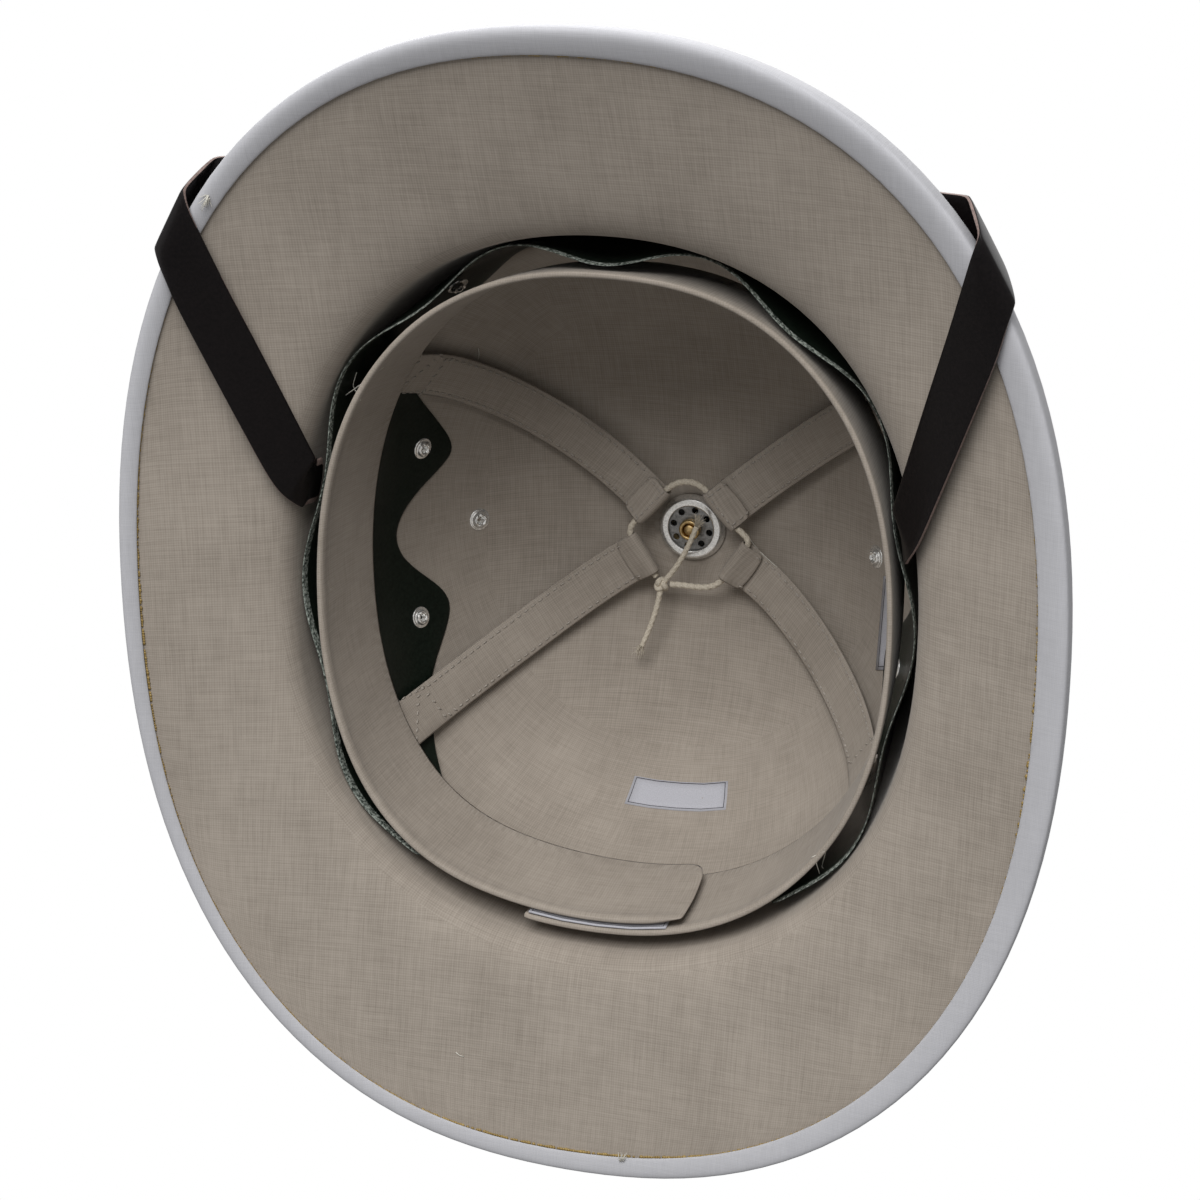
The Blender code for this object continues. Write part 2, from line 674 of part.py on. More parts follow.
TAB_DRILLS = []
for number, angle in enumerate(TAB_ANGLES):
    seat = -STRIP_CLOTH - 3.0 * CLEARANCE
    height = RIVET_HEIGHT - strip_drop(angle)
    TAB_DRILLS.append(rivet(f"tab_rivet_{number + 1}", angle, height, RIVET_FLANGE, seat))
SIDE_DRILLS = [
    rivet("side_rivet_right", 0.0, SIDE_RIVET_HEIGHT, SIDE_RIVET_FLANGE, -CLEARANCE),
    rivet("side_rivet_left", math.pi, SIDE_RIVET_HEIGHT, SIDE_RIVET_FLANGE, -CLEARANCE),
]
drill(STRIP, TAB_DRILLS)
drill(bpy.data.objects["crown_lining"], TAB_DRILLS + SIDE_DRILLS)
drill(bpy.data.objects["shell_body"], TAB_DRILLS + SIDE_DRILLS)


# ---------------------------------------------------------------- ventilator

LINING_TOP = HEAD_EDGE_HEIGHT + CROWN_DEPTH
COVER_TOP = LINING_TOP + COVER_BACK
AXIS_PLACE = Vector((0.0, VENT_PLACE, 0.0))

tube_outside = VENT_BORE - CLEARANCE
tube_inside = tube_outside - VENT_TUBE_WALL
ledge_inside = tube_inside - VENT_TUBE_WALL
tube_low = LINING_TOP - VENT_LIP
ledge_top = tube_low + VENT_TUBE_WALL
tube_high = COVER_TOP + CLEARANCE + VENT_FLANGE_THICKNESS
flange_top = LINING_TOP - CLEARANCE
flange_low = flange_top - VENT_FLANGE_THICKNESS
turned("vent_tube", [
    (tube_outside, tube_high), (tube_outside, flange_top), (VENT_FLANGE, flange_top),
    (VENT_FLANGE, flange_low), (tube_outside + VENT_TUBE_WALL, tube_low), (ledge_inside, tube_low),
    (ledge_inside, ledge_top), (tube_inside, ledge_top), (tube_inside, tube_high)],
    NICKEL, AXIS_PLACE, UP, 24)

ring_low = COVER_TOP + CLEARANCE
turned("vent_top_ring", [
    (VENT_FLANGE + VENT_TUBE_WALL, ring_low), (tube_outside + CLEARANCE, ring_low),
    (tube_outside + CLEARANCE, tube_high), (VENT_FLANGE, tube_high)], NICKEL, AXIS_PLACE, UP, 24)

disc_low = ledge_top + CLEARANCE
disc_high = disc_low + DISC_THICKNESS
disc_outside = tube_inside - CLEARANCE
bush_outside = STEM_RADIUS + CLEARANCE + VENT_TUBE_WALL
disc_inside = bush_outside + CLEARANCE
DISC = turned("vent_disc", [
    (disc_outside, disc_high), (disc_outside, disc_low), (disc_inside, disc_low), (disc_inside, disc_high)],
    ZINC, AXIS_PLACE, UP, 24)
drill(DISC, [
    cutter(f"disc_drill_{hole + 1}", DISC_HOLE_RADIUS, 4.0 * DISC_THICKNESS,
           AXIS_PLACE + Vector((DISC_HOLE_CIRCLE * math.cos(turn), DISC_HOLE_CIRCLE * math.sin(turn),
                                (disc_low + disc_high) / 2.0)), UP, RIVET_FACETS)
    for hole, turn in enumerate(spaced(DISC_HOLE_TURN, DISC_HOLE_TURN + 2.0 * math.pi, DISC_HOLES)[:-1])])

nut_high = disc_low - CLEARANCE
nut_low = nut_high - NUT_HEIGHT
bush_high = disc_high + BUSH_RISE
bush_inside = STEM_RADIUS + CLEARANCE
turned("vent_nut", [
    (bush_outside, bush_high), (bush_outside, nut_high), (NUT_RADIUS, nut_high), (NUT_RADIUS, nut_low),
    (bush_inside, nut_low), (bush_inside, bush_high)], BRASS, AXIS_PLACE, UP, 12)

washer_low = bush_high + CLEARANCE
washer_high = washer_low + WASHER_THICKNESS
turned("vent_washer", [
    (WASHER_RADIUS, washer_high), (WASHER_RADIUS, washer_low), (bush_inside, washer_low),
    (bush_inside, washer_high)], BLACK_LEATHER, AXIS_PLACE, UP, 16)

boss_low = washer_high + CLEARANCE
skirt_low = tube_high + CAP_AIR_GAP
cap_top = skirt_low + CAP_HEIGHT
stem_low = nut_low + CLEARANCE
dome = [(CAP_RADIUS * math.sin(turn), skirt_low + CAP_HEIGHT * math.cos(turn))
        for turn in spaced(0.0, math.pi / 2.0, 4)]
hollow = [((CAP_RADIUS - CAP_WALL) * math.sin(turn), skirt_low + (CAP_HEIGHT - CAP_WALL) * math.cos(turn))
          for turn in spaced(math.pi / 2.0, math.asin(CAP_BOSS / (CAP_RADIUS - CAP_WALL)), 3)]
foot = [(CAP_BOSS, boss_low), (STEM_RADIUS, boss_low), (STEM_RADIUS, stem_low), (0.0, stem_low)]
turned("vent_cap", dome + hollow + foot, WHITE_TAPE, AXIS_PLACE, UP, 24)


# ---------------------------------------------------------------- crown straps and drawcord


def strap_path(side, end, end_angle, end_reach):
    """Path of a crown strap, and the middle and width direction of its hem."""
    def turned_to(angle):
        return math.atan2(end * math.sin(angle), side * math.cos(angle))

    root = turned_to(STRAP_ROOT)
    inwards = -Vector((math.cos(root), math.sin(root), 0.0))
    behind = 2.0 * CLEARANCE + STRAP_CLOTH / 2.0
    path = [(band_place(root, behind, height), inwards)
            for height in spaced(HEADBAND_HEIGHT - STRAP_TAIL, HEADBAND_HEIGHT, 2)]

    def wall_reach(lift):
        place = crown_point(root, lift, 0.0) - AXIS_PLACE
        return -Vector((place.x, place.y)).length
    start_lift = crown_lift(root, STRIP_VALLEY)
    end_lift = solve(wall_reach, -end_reach)
    for share in spaced(0.0, 1.0, STRAP_STATIONS):
        angle = root + (turned_to(end_angle) - root) * share ** 3
        lift = start_lift + (end_lift - start_lift) * share
        normal = -crown_normal(angle, lift)
        offset = STRAP_OFFSET + (STRAP_END_OFFSET - STRAP_OFFSET) * share ** 2
        path.append((crown_point(angle, lift, 0.0) + normal * offset, normal))

    tip, normal = path[-1]
    ahead = (tip - path[-2][0]).normalized()
    normal = (normal - ahead * normal.dot(ahead)).normalized()
    centre = tip + normal * STRAP_HEM
    for turn in spaced(0.0, math.pi, 5)[1:]:
        outward = ahead * math.sin(turn) - normal * math.cos(turn)
        path.append((centre + outward * STRAP_HEM, -outward))
    close = STRAP_CLOTH + CLEARANCE
    rise = close + STRAP_HEM * STRAP_HEM_CLOSE
    path.append((tip - ahead * STRAP_HEM_SEAM * STRAP_HEM_MOUTH + normal * rise, -normal))
    path.append((tip - ahead * STRAP_HEM_SEAM + normal * close, -normal))
    return path, centre, ahead.cross(normal).normalized()


HEMS = {}
for name, (side, end, end_angle, end_reach) in CROWN_STRAPS.items():
    path, centre, across = strap_path(side, end, end_angle, end_reach)
    ribbon(name, [(point, normal, None) for point, normal in path], STRAP_WIDTH, STRAP_CLOTH, DRILL_CLOTH)
    HEMS[name] = (centre, across)


# ---------------------------------------------------------------- labels


def wall_label(name, middle, half_turn, low, high):
    """Thin patch that lies on the crown lining."""
    rings = []
    for angle in spaced(middle - half_turn, middle + half_turn, 4):
        inner = [wall_point(angle, height, -CLEARANCE) for height in spaced(low, high, 2)]
        outer = [wall_point(angle, height, -CLEARANCE - LABEL_CLOTH) for height in spaced(high, low, 2)]
        rings.append(inner + outer)
    loft(name, rings, PAPER)


wall_label("crown_label", LABEL_ANGLE, LABEL_HALF_TURN, LABEL_LOW, LABEL_HIGH)


def headband_label():
    """Patch between the headband's lapped ends, on the inside of the outer one."""
    rings = []
    for share in spaced(PATCH_START_SHARE, PATCH_END_SHARE, 4):
        angle = HEADBAND_LAP_END + HEADBAND_LAP * share
        faces = [[band_place(angle, -HEADBAND_FOLD - CLEARANCE - depth, height)
                  for height in (PATCH_LOW, PATCH_HIGH)] for depth in (0.0, LABEL_CLOTH)]
        rings.append(faces[0] + list(reversed(faces[1])))
    loft("headband_label", rings, PAPER)


headband_label()


# ---------------------------------------------------------------- drawcord


def bow(start, start_way, stop, stop_way):
    """Points of a smooth bow that leaves and arrives along two directions."""
    reach = (stop - start).length * CORD_SLACK
    leave = start + start_way * reach
    arrive = stop - stop_way * reach
    return interpolate_bezier(start, leave, arrive, stop, CORD_BOW_POINTS)


def from_knot(target):
    """Place just off the knot, on the side that faces a target."""
    return knot_place + (target - knot_place).normalized() * (KNOT_RADIUS + CLEARANCE)


hem_half = STRAP_WIDTH / 2.0 + CORD_EXIT
passes = [HEMS[name] for name in ("crown_strap_rear_left", "crown_strap_front_left",
                                  "crown_strap_front_right", "crown_strap_rear_right")]
first_centre, first_across = passes[0]
last_centre, last_across = passes[-1]
knot_place = first_centre + first_across * (hem_half + KNOT_RADIUS + CLEARANCE * 2.0)
turned("drawcord_knot", [(KNOT_RADIUS * math.sin(turn), -KNOT_RADIUS * math.cos(turn))
                         for turn in spaced(0.0, math.pi, 5)], COTTON, knot_place, UP, 8)
route = [knot_place - first_across * (KNOT_RADIUS + CLEARANCE)]
for near, far in zip(passes, passes[1:]):
    route += bow(near[0] - near[1] * hem_half, -near[1], far[0] + far[1] * hem_half, -far[1])
last_exit = last_centre - last_across * hem_half
finish_place = from_knot(last_exit)
route += bow(last_exit, -last_across, finish_place, (knot_place - finish_place).normalized())
cord("drawcord", route, CORD_RADIUS, COTTON)

TAILS = {"drawcord_tail_short": (TAIL_DROP, TAIL_SAG), "drawcord_tail_long": (LONG_TAIL, LONG_SAG)}
for name, (reach, sag) in TAILS.items():
    tip = knot_place + reach
    leave = (reach + sag).normalized()
    arrive = (reach - sag).normalized()
    cord(name, bow(knot_place + leave * (KNOT_RADIUS + CLEARANCE), leave, tip, arrive), CORD_RADIUS, COTTON)


# ---------------------------------------------------------------- chin strap

CHIN_GAP = CLEARANCE + CHIN_LEATHER / 2.0 + CHIN_LIFT


def chin_half(side):
    """Path of one half, from inside the crown, under the brim, over the rim to the crown's front."""
    def front(turned_angle):
        return -turned_angle if side > 0 else math.pi + turned_angle

    anchor = front(CHIN_ANCHOR)
    rim = front(CHIN_RIM)
    path = []
    for height in spaced(CHIN_TAIL, CHIN_TAIL_FOOT, 2):
        normal = -crown_normal(anchor, crown_lift(anchor, height))
        path.append((wall_point(anchor, height, 0.0) + normal * (CHIN_GAP + CHIN_STAND), normal, None))
    for reach in CHIN_LIP:
        lip = front(CHIN_ANCHOR + (CHIN_RIM - CHIN_ANCHOR) * reach * CHIN_LIP_TURN)
        normal = brim_normal(lip, reach)
        path.append((brim_point(lip, reach, 0.0) + normal * (CHIN_GAP + CHIN_STAND), normal, None))

    # The strap folds over the rim along the rim's own direction, and keeps its slant to it.
    step = 0.002
    lift_step = UP * (rim_lift(front(CHIN_RIM + step)) - rim_lift(front(CHIN_RIM - step)))
    along_rim = rim_oval(front(CHIN_RIM + step)) - rim_oval(front(CHIN_RIM - step)) + lift_step
    speed = along_rim.length / (2.0 * step)
    along_rim.normalize()
    outward = Vector((-along_rim.y, along_rim.x, 0.0)).normalized()
    outward *= math.copysign(1.0, outward.dot(rim_oval(rim)))
    low = rim_lift(rim)
    high = binding_top(rim)
    corner = CHIN_GAP * CHIN_CORNER
    under = rim_facet_point(rim, TAPE_UNDER, -CLEARANCE - TAPE) - UP * CHIN_GAP * CHIN_UNDER_ROOM
    lip_place, lip_normal, _ = path[-1]
    chord = (under - lip_place).normalized()
    slant = chord.cross(along_rim).length
    under_normal = chord.cross(along_rim).normalized()
    under_normal *= -math.copysign(1.0, under_normal.z)
    fold = along_rim * (CHIN_WIDTH / 2.0 / slant)
    fold *= math.copysign(1.0, fold.dot(chord.cross(under_normal)))
    for share in spaced(0.0, 1.0, 6)[1:-1]:
        path.append((lip_place.lerp(under, share), lip_normal.lerp(under_normal, share).normalized(), None))

    tape_top = rim_facet_point(rim, TAPE_OVER, COVER_BACK + CLEARANCE + TAPE, BRIM_TAPER)
    leave = tape_top.z + CHIN_GAP * CHIN_LEAVE_ROOM
    wrap = [(TAPE_UNDER, under.z, under_normal), (CHIN_LAND, low - CHIN_GAP, -UP),
            (-corner, low - corner + TAPE * 0.5, outward - UP), (-CHIN_GAP, low + TAPE * 2.0, outward),
            (-CHIN_GAP, high - TAPE * 2.0, outward), (-corner, high + corner - TAPE * 0.5, outward + UP),
            (CHIN_LAND, high + CHIN_GAP * CHIN_OVER_ROOM, UP),
            (TAPE_OVER, leave, UP - outward * CHIN_LEAVE_SLOPE)]
    run = 0.0
    for number, (inset, height, normal) in enumerate(wrap):
        if number:
            run += math.hypot(inset - wrap[number - 1][0], height - wrap[number - 1][1])
        slide = run * chord.dot(along_rim) / slant
        place = rim_oval(front(CHIN_RIM + slide / speed), inset)
        place.z = height + along_rim.z * slide
        path.append((place, normal.normalized(), fold))

    over = path[-1][0]
    lift = crown_lift(FRONT_ANGLE, CHIN_CROWN_HEIGHT)
    band_out = COVER_BACK + CLEARANCE + BAND_FACET_ROOM + BAND_CLOTH + PLEAT_STEP + CHIN_GAP + CHIN_BAND_STAND
    middle = crown_point(FRONT_ANGLE, lift, band_out)
    middle_normal = crown_normal(FRONT_ANGLE, lift)
    for share in spaced(0.0, 1.0, CHIN_ARCH_STATIONS)[1:-1]:
        place = over.lerp(middle, share)
        place.z = over.z + (middle.z - over.z) * (1.0 - (1.0 - share) ** 2)
        path.append((place, UP.lerp(middle_normal, min(share / CHIN_TWIST, 1.0)).normalized(), None))
    return path, (middle, middle_normal, None)


def mirrored(path):
    """The same half on the other side, walked the other way."""
    flip = Vector((-1.0, 1.0, 1.0))
    return [(point * flip, normal * flip, fold and fold * flip) for point, normal, fold in reversed(path)]


right_half, middle = chin_half(1)
ribbon("chin_strap", right_half + [middle] + mirrored(right_half), CHIN_WIDTH, CHIN_LEATHER, BLACK_LEATHER)
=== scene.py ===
import math
import random

import bmesh
import bpy
from mathutils import Matrix, Vector, noise
from mathutils.bvhtree import BVHTree


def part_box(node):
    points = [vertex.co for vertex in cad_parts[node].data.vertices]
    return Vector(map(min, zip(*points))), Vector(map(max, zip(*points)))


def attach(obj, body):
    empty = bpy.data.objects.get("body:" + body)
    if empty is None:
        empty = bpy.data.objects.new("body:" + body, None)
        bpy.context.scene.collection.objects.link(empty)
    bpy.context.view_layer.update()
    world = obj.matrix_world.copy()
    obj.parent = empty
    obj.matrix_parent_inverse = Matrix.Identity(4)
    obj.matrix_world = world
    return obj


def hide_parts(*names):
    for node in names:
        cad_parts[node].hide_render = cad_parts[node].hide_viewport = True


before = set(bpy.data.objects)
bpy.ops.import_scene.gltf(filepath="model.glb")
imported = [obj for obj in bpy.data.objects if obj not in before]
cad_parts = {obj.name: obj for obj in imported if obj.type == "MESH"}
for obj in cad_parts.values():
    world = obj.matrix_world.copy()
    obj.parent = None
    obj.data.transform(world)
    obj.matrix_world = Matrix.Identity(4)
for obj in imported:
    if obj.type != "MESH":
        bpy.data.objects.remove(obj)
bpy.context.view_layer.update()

# ------------ camera
# The helmet is seen from below and a little from the front right, so the camera looks up
# into the crown.
lens_turn = Vector((0.32814, 0.30299, 0.05029))     # turn from the helmet to the lens, axis times angle
lens_shift = Vector((-0.01050, 0.01225, 0.71365))   # the helmet's origin as the lens sees it
photo_width = 1200.0
photo_focus = 2525.8        # focal length in units of the picture, which is 1200 wide
photo_turn = Matrix.Rotation(lens_turn.length, 3, lens_turn.normalized())
lens_place = -(photo_turn.transposed() @ lens_shift)
camera_data = bpy.data.cameras.new("photo_camera")
camera_data.lens = photo_focus / photo_width * camera_data.sensor_width
camera_data.clip_start = 0.01
camera = bpy.data.objects.new("photo_camera", camera_data)
bpy.context.scene.collection.objects.link(camera)
camera_turn = photo_turn.transposed() @ Matrix.Diagonal((1.0, -1.0, -1.0))
camera.matrix_world = Matrix.Translation(lens_place) @ camera_turn.to_4x4()
bpy.context.scene.camera = camera

# ------------ drawcord
# Limp cord of three cotton strands twisted together, run through the hems of the four crown
# straps and tied in an overhand knot. Its two tails end in loose, frayed fibres.


def shaded(name, rough, metallic=0.0):
    """New node material with its tree and its shader."""
    made = bpy.data.materials.new(name)
    made.use_nodes = True
    tree = made.node_tree
    shader = tree.nodes["Principled BSDF"]
    shader.inputs["Roughness"].default_value = rough
    shader.inputs["Metallic"].default_value = metallic
    return made, tree, shader


def maths(tree, operation, *values):
    """Output of a math node, whose values are numbers or other nodes' outputs."""
    node = tree.nodes.new("ShaderNodeMath")
    node.operation = operation
    for slot, value in zip(node.inputs, values):
        if isinstance(value, bpy.types.NodeSocket):
            tree.links.new(value, slot)
        else:
            slot.default_value = value
    return node.outputs[0]


def noise_of(tree, where, scale, detail, rough=0.5):
    """Noise texture along a set of coordinates."""
    grain = tree.nodes.new("ShaderNodeTexNoise")
    grain.inputs["Scale"].default_value = scale
    grain.inputs["Detail"].default_value = detail
    grain.inputs["Roughness"].default_value = rough
    tree.links.new(where, grain.inputs["Vector"])
    return grain.outputs["Fac"]


def tinted(tree, source, dark, light, ramp):
    """Colour that goes from dark to light between two values of the source."""
    tint = tree.nodes.new("ShaderNodeValToRGB")
    for element, position, colour in zip(tint.color_ramp.elements, ramp, (dark, light)):
        element.position = position
        element.color = (*colour, 1.0)
    tree.links.new(source, tint.inputs["Fac"])
    return tint.outputs["Color"]


def bumped(tree, shader, source, strength, depth):
    """Relief of the source on the shader's surface."""
    bump = tree.nodes.new("ShaderNodeBump")
    bump.inputs["Strength"].default_value = strength
    bump.inputs["Distance"].default_value = depth
    tree.links.new(source, bump.inputs["Height"])
    tree.links.new(bump.outputs["Normal"], shader.inputs["Normal"])


def speckled(name, dark, light, scale, rough, metallic=0.0, bump_depth=0.0, gloss=0.5,
             ramp=(0.3, 0.7)):
    """Material whose colour and bump follow one noise through the solid piece."""
    made, tree, shader = shaded(name, rough, metallic)
    shader.inputs["Specular IOR Level"].default_value = gloss
    solid = tree.nodes.new("ShaderNodeTexCoord")
    grain = noise_of(tree, solid.outputs["Object"], scale, detail=4.0, rough=0.65)
    tree.links.new(tinted(tree, grain, dark, light, ramp), shader.inputs["Base Color"])
    if bump_depth:
        bumped(tree, shader, grain, 0.5, bump_depth)
    return made


def add_piece(name, mesh, finishes, body="helmet"):
    """Smooth-shaded object from a bmesh, with its materials, riding on its body."""
    data = bpy.data.meshes.new(name)
    mesh.to_mesh(data)
    mesh.free()
    for finish in finishes:
        data.materials.append(finish)
    data.shade_smooth()
    made = bpy.data.objects.new(name, data)
    bpy.context.scene.collection.objects.link(made)
    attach(made, body)
    return made


def even(points, step):
    """The same line with its points a step apart."""
    line = [points[0].copy()]
    left = step
    for near, far in zip(points, points[1:]):
        length = (far - near).length
        while left < length:
            line.append(near.lerp(far, left / length))
            left += step
        left -= length
    return line


def length_of(points):
    """Length of a line through the points."""
    return sum((far - near).length for near, far in zip(points, points[1:]))


def softened(points, rounds):
    """The same line with its corners eased, and its ends kept."""
    for _ in range(rounds):
        points = [points[0]] + [before * 0.25 + point * 0.5 + after * 0.25 for before, point, after
                                in zip(points, points[1:], points[2:])] + [points[-1]]
    return points


STRAND_LAY = 0.007          # length in which a strand goes once round the cord
STRAND_RISE = 0.10          # how far the strands stand out, as a share of the cord's radius


def sweep(mesh, path, radius, sides, strands=0, tip=1.0):
    """Run a round section, with strands twisted round it, along a path, and cap both its ends.

    tip is the radius at the far end as a share of the near one.
    """
    section = bmesh.ops.create_circle(mesh, cap_ends=True, segments=sides, radius=1.0)["verts"]
    for vert in section:
        lobe = math.cos(strands * math.atan2(vert.co.y, vert.co.x)) if strands else 0.0
        vert.co *= 1.0 + STRAND_RISE * lobe
    edges = list(dict.fromkeys(edge for vert in section for edge in vert.link_edges))
    heading = Vector((0.0, 0.0, 1.0))
    heading_turn = Matrix.Identity(3)
    run = 0.0
    last = len(path) - 1
    placed = Matrix.Identity(4)
    ring = section
    for index, point in enumerate(path):
        ahead = (path[min(index + 1, last)] - path[max(index - 1, 0)]).normalized()
        heading_turn = heading.rotation_difference(ahead).to_matrix() @ heading_turn
        heading = ahead
        if index:
            run += (point - path[index - 1]).length
            grown = bmesh.ops.extrude_edge_only(mesh, edges=edges)["geom"]
            ring = [item for item in grown if isinstance(item, bmesh.types.BMVert)]
            kept = set(ring)
            edges = [item for item in grown if isinstance(item, bmesh.types.BMEdge)
                     and item.verts[0] in kept and item.verts[1] in kept]
        width = radius * (1.0 + (tip - 1.0) * index / last)
        spin = Matrix.Rotation(2.0 * math.pi * run / STRAND_LAY if strands else 0.0, 3, "Z")
        turned = heading_turn @ spin @ Matrix.Diagonal((width, width, width))
        wanted = Matrix.Translation(point) @ turned.to_4x4()
        bmesh.ops.transform(mesh, matrix=wanted @ placed.inverted(), verts=ring)
        placed = wanted
    bmesh.ops.edgeloop_fill(mesh, edges=edges)


FIBRE_RADIUS = 0.00011


def wisps(mesh, place, ahead, count, longest, seed, radius=FIBRE_RADIUS):
    """Loose fibres that fan out from a cut end."""
    chance = random.Random(seed)
    for _ in range(count):
        lean = Vector([chance.uniform(-1.0, 1.0) for _ in range(3)])
        way = (ahead + lean * 0.45).normalized()
        bend = Vector([chance.uniform(-1.0, 1.0) for _ in range(3)]) * 0.35
        length = longest * chance.uniform(0.45, 1.0)
        start = place + lean * 0.0005
        line = [start + (way + bend * share) * length * share for share in (0.0, 0.25, 0.5, 0.75, 1.0)]
        sweep(mesh, line, radius, sides=4, tip=0.5)


CORD_THICKNESS = 0.0020
CORD_STEP = 0.0005          # length between two points of a swept cord
CORD_SIDES = 12
CORD_STRANDS = 3
CORD_ROUNDS = 44            # rounds of easing that keep the bends wider than the cord takes
CORD_LINE = [Vector(point) for point in (
    (-0.00940, 0.02138, 0.12670), (-0.01916, 0.00673, 0.12655), (-0.01937, 0.00617, 0.12656),
    (-0.01929, 0.00560, 0.12658), (-0.01900, 0.00502, 0.12660), (-0.01855, 0.00445, 0.12664),
    (-0.01802, 0.00389, 0.12667), (-0.01747, 0.00335, 0.12669), (-0.01697, 0.00284, 0.12670),
    (-0.00535, -0.00998, 0.12676), (-0.00391, -0.01118, 0.12676), (-0.00215, -0.01202, 0.12676),
    (-0.00019, -0.01250, 0.12676), (0.00182, -0.01259, 0.12676), (0.00377, -0.01229, 0.12676),
    (0.00552, -0.01156, 0.12675), (0.00694, -0.01039, 0.12674), (0.01833, 0.00263, 0.12662),
    (0.01903, 0.00321, 0.12659), (0.01993, 0.00370, 0.12652), (0.02090, 0.00414, 0.12643),
    (0.02179, 0.00458, 0.12634), (0.02246, 0.00504, 0.12625), (0.02278, 0.00557, 0.12620),
    (0.02261, 0.00621, 0.12619), (0.01306, 0.02063, 0.12660), (0.01132, 0.02238, 0.12665),
    (0.00913, 0.02330, 0.12668), (0.00660, 0.02363, 0.12669), (0.00385, 0.02358, 0.12670),
    (0.00099, 0.02338, 0.12669), (-0.00188, 0.02327, 0.12670), (-0.00462, 0.02347, 0.12671))]
KNOT_PLACE = Vector((-0.00768, 0.02396, 0.12672))
KNOT_SIZE = 0.00062         # a third of the trefoil's radius
KNOT_STEPS = 72
SHORT_TAIL = [Vector(point) for point in (
    (-0.00804, 0.02698, 0.12615), (-0.00844, 0.02970, 0.12563), (-0.00897, 0.03232, 0.12513),
    (-0.00962, 0.03487, 0.12465), (-0.01037, 0.03738, 0.12417), (-0.01122, 0.03987, 0.12369),
    (-0.01217, 0.04239, 0.12321), (-0.01318, 0.04496, 0.12272))]
LONG_TAIL = [Vector(point) for point in (
    (-0.00573, 0.02155, 0.12672), (-0.00381, 0.01902, 0.12672), (-0.00211, 0.01644, 0.12672),
    (-0.00060, 0.01381, 0.12672), (0.00077, 0.01110, 0.12672), (0.00202, 0.00832, 0.12672),
    (0.00319, 0.00544, 0.12672), (0.00432, 0.00246, 0.12672))]

cotton = speckled("twisted_cotton", (0.40, 0.34, 0.26), (0.72, 0.66, 0.55), 2200.0, 0.92,
                  bump_depth=0.00008)
cord_path = softened(even(CORD_LINE, CORD_STEP), CORD_ROUNDS)
cord_mesh = bmesh.new()
sweep(cord_mesh, cord_path, CORD_THICKNESS / 2.0, CORD_SIDES, CORD_STRANDS)
drawcord = add_piece("drawcord_twisted", cord_mesh, [cotton])
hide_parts("drawcord")

knot_mesh = bmesh.new()
turns = [2.0 * math.pi * step / KNOT_STEPS for step in range(KNOT_STEPS + 1)]
knot_path = [KNOT_PLACE + KNOT_SIZE * Vector((math.sin(turn) + 2.0 * math.sin(2.0 * turn),
                                              math.cos(turn) - 2.0 * math.cos(2.0 * turn),
                                              -1.6 * math.sin(3.0 * turn))) for turn in turns]
sweep(knot_mesh, knot_path, CORD_THICKNESS * 0.45, CORD_SIDES, CORD_STRANDS)
knot = add_piece("drawcord_knot_tied", knot_mesh, [cotton])
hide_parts("drawcord_knot")

TUFT_FIBRES = 44
TUFT_LENGTH = 0.0038
for name, line, seed in (("drawcord_tail_short", SHORT_TAIL, 3), ("drawcord_tail_long", LONG_TAIL, 5)):
    tail_mesh = bmesh.new()
    whole = softened(even([KNOT_PLACE] + line, CORD_STEP), 4)
    sweep(tail_mesh, whole, CORD_THICKNESS * 0.47, CORD_SIDES, CORD_STRANDS, tip=0.9)
    wisps(tail_mesh, whole[-1], (whole[-1] - whole[-4]).normalized(), TUFT_FIBRES, TUFT_LENGTH, seed)
    tail = add_piece(name + "_frayed", tail_mesh, [cotton])
    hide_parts(name)

# ------------ floor and light
# A pale floor that is seen only from above, so that it doesn't hide the helmet's underside,
# with a large soft lamp on each side of it and even white air all round.
PALE = (0.80, 0.80, 0.80, 1.0)
WHITE = (1.0, 1.0, 1.0, 1.0)
FLOOR_GLOW = 0.45           # keeps the far floor as pale as the lit one
FLOOR_HALF = 12.0
FLOOR_DROP = 0.0002
AIR_LIGHT = 0.27            # what the air gives the cloth, while it is seen as plain white


def either_of(tree, *flags):
    """Output that is 1 where any of the flags is 1."""
    total = flags[0]
    for flag in flags[1:]:
        total = maths(tree, "MAXIMUM", total, flag)
    return total


def mixed(tree, share, first, second, output):
    """Lead a mix of two shaders to the tree's output."""
    mix = tree.nodes.new("ShaderNodeMixShader")
    for slot, source in enumerate((share, first.outputs[0], second.outputs[0])):
        tree.links.new(source, mix.inputs[slot])
    tree.links.new(mix.outputs[0], tree.nodes[output].inputs["Surface"])


bpy.context.scene.view_settings.view_transform = "Standard"
floor_finish, tree, shader = shaded("pale_floor", 0.8)
shader.inputs["Base Color"].default_value = PALE
shader.inputs["Emission Color"].default_value = PALE
shader.inputs["Emission Strength"].default_value = FLOOR_GLOW
clear = tree.nodes.new("ShaderNodeBsdfTransparent")
clear.inputs["Color"].default_value = WHITE
side = tree.nodes.new("ShaderNodeNewGeometry").outputs["Backfacing"]
ray = tree.nodes.new("ShaderNodeLightPath").outputs
unseen = either_of(tree, side, ray["Is Shadow Ray"], ray["Is Diffuse Ray"])
mixed(tree, unseen, shader, clear, "Material Output")
floor_mesh = bmesh.new()
bmesh.ops.create_grid(floor_mesh, x_segments=1, y_segments=1, size=FLOOR_HALF)
floor_data = bpy.data.meshes.new("pale_floor")
floor_mesh.to_mesh(floor_data)
floor_mesh.free()
floor = bpy.data.objects.new("pale_floor", floor_data)
floor.location = (0.0, 0.0, -FLOOR_DROP)
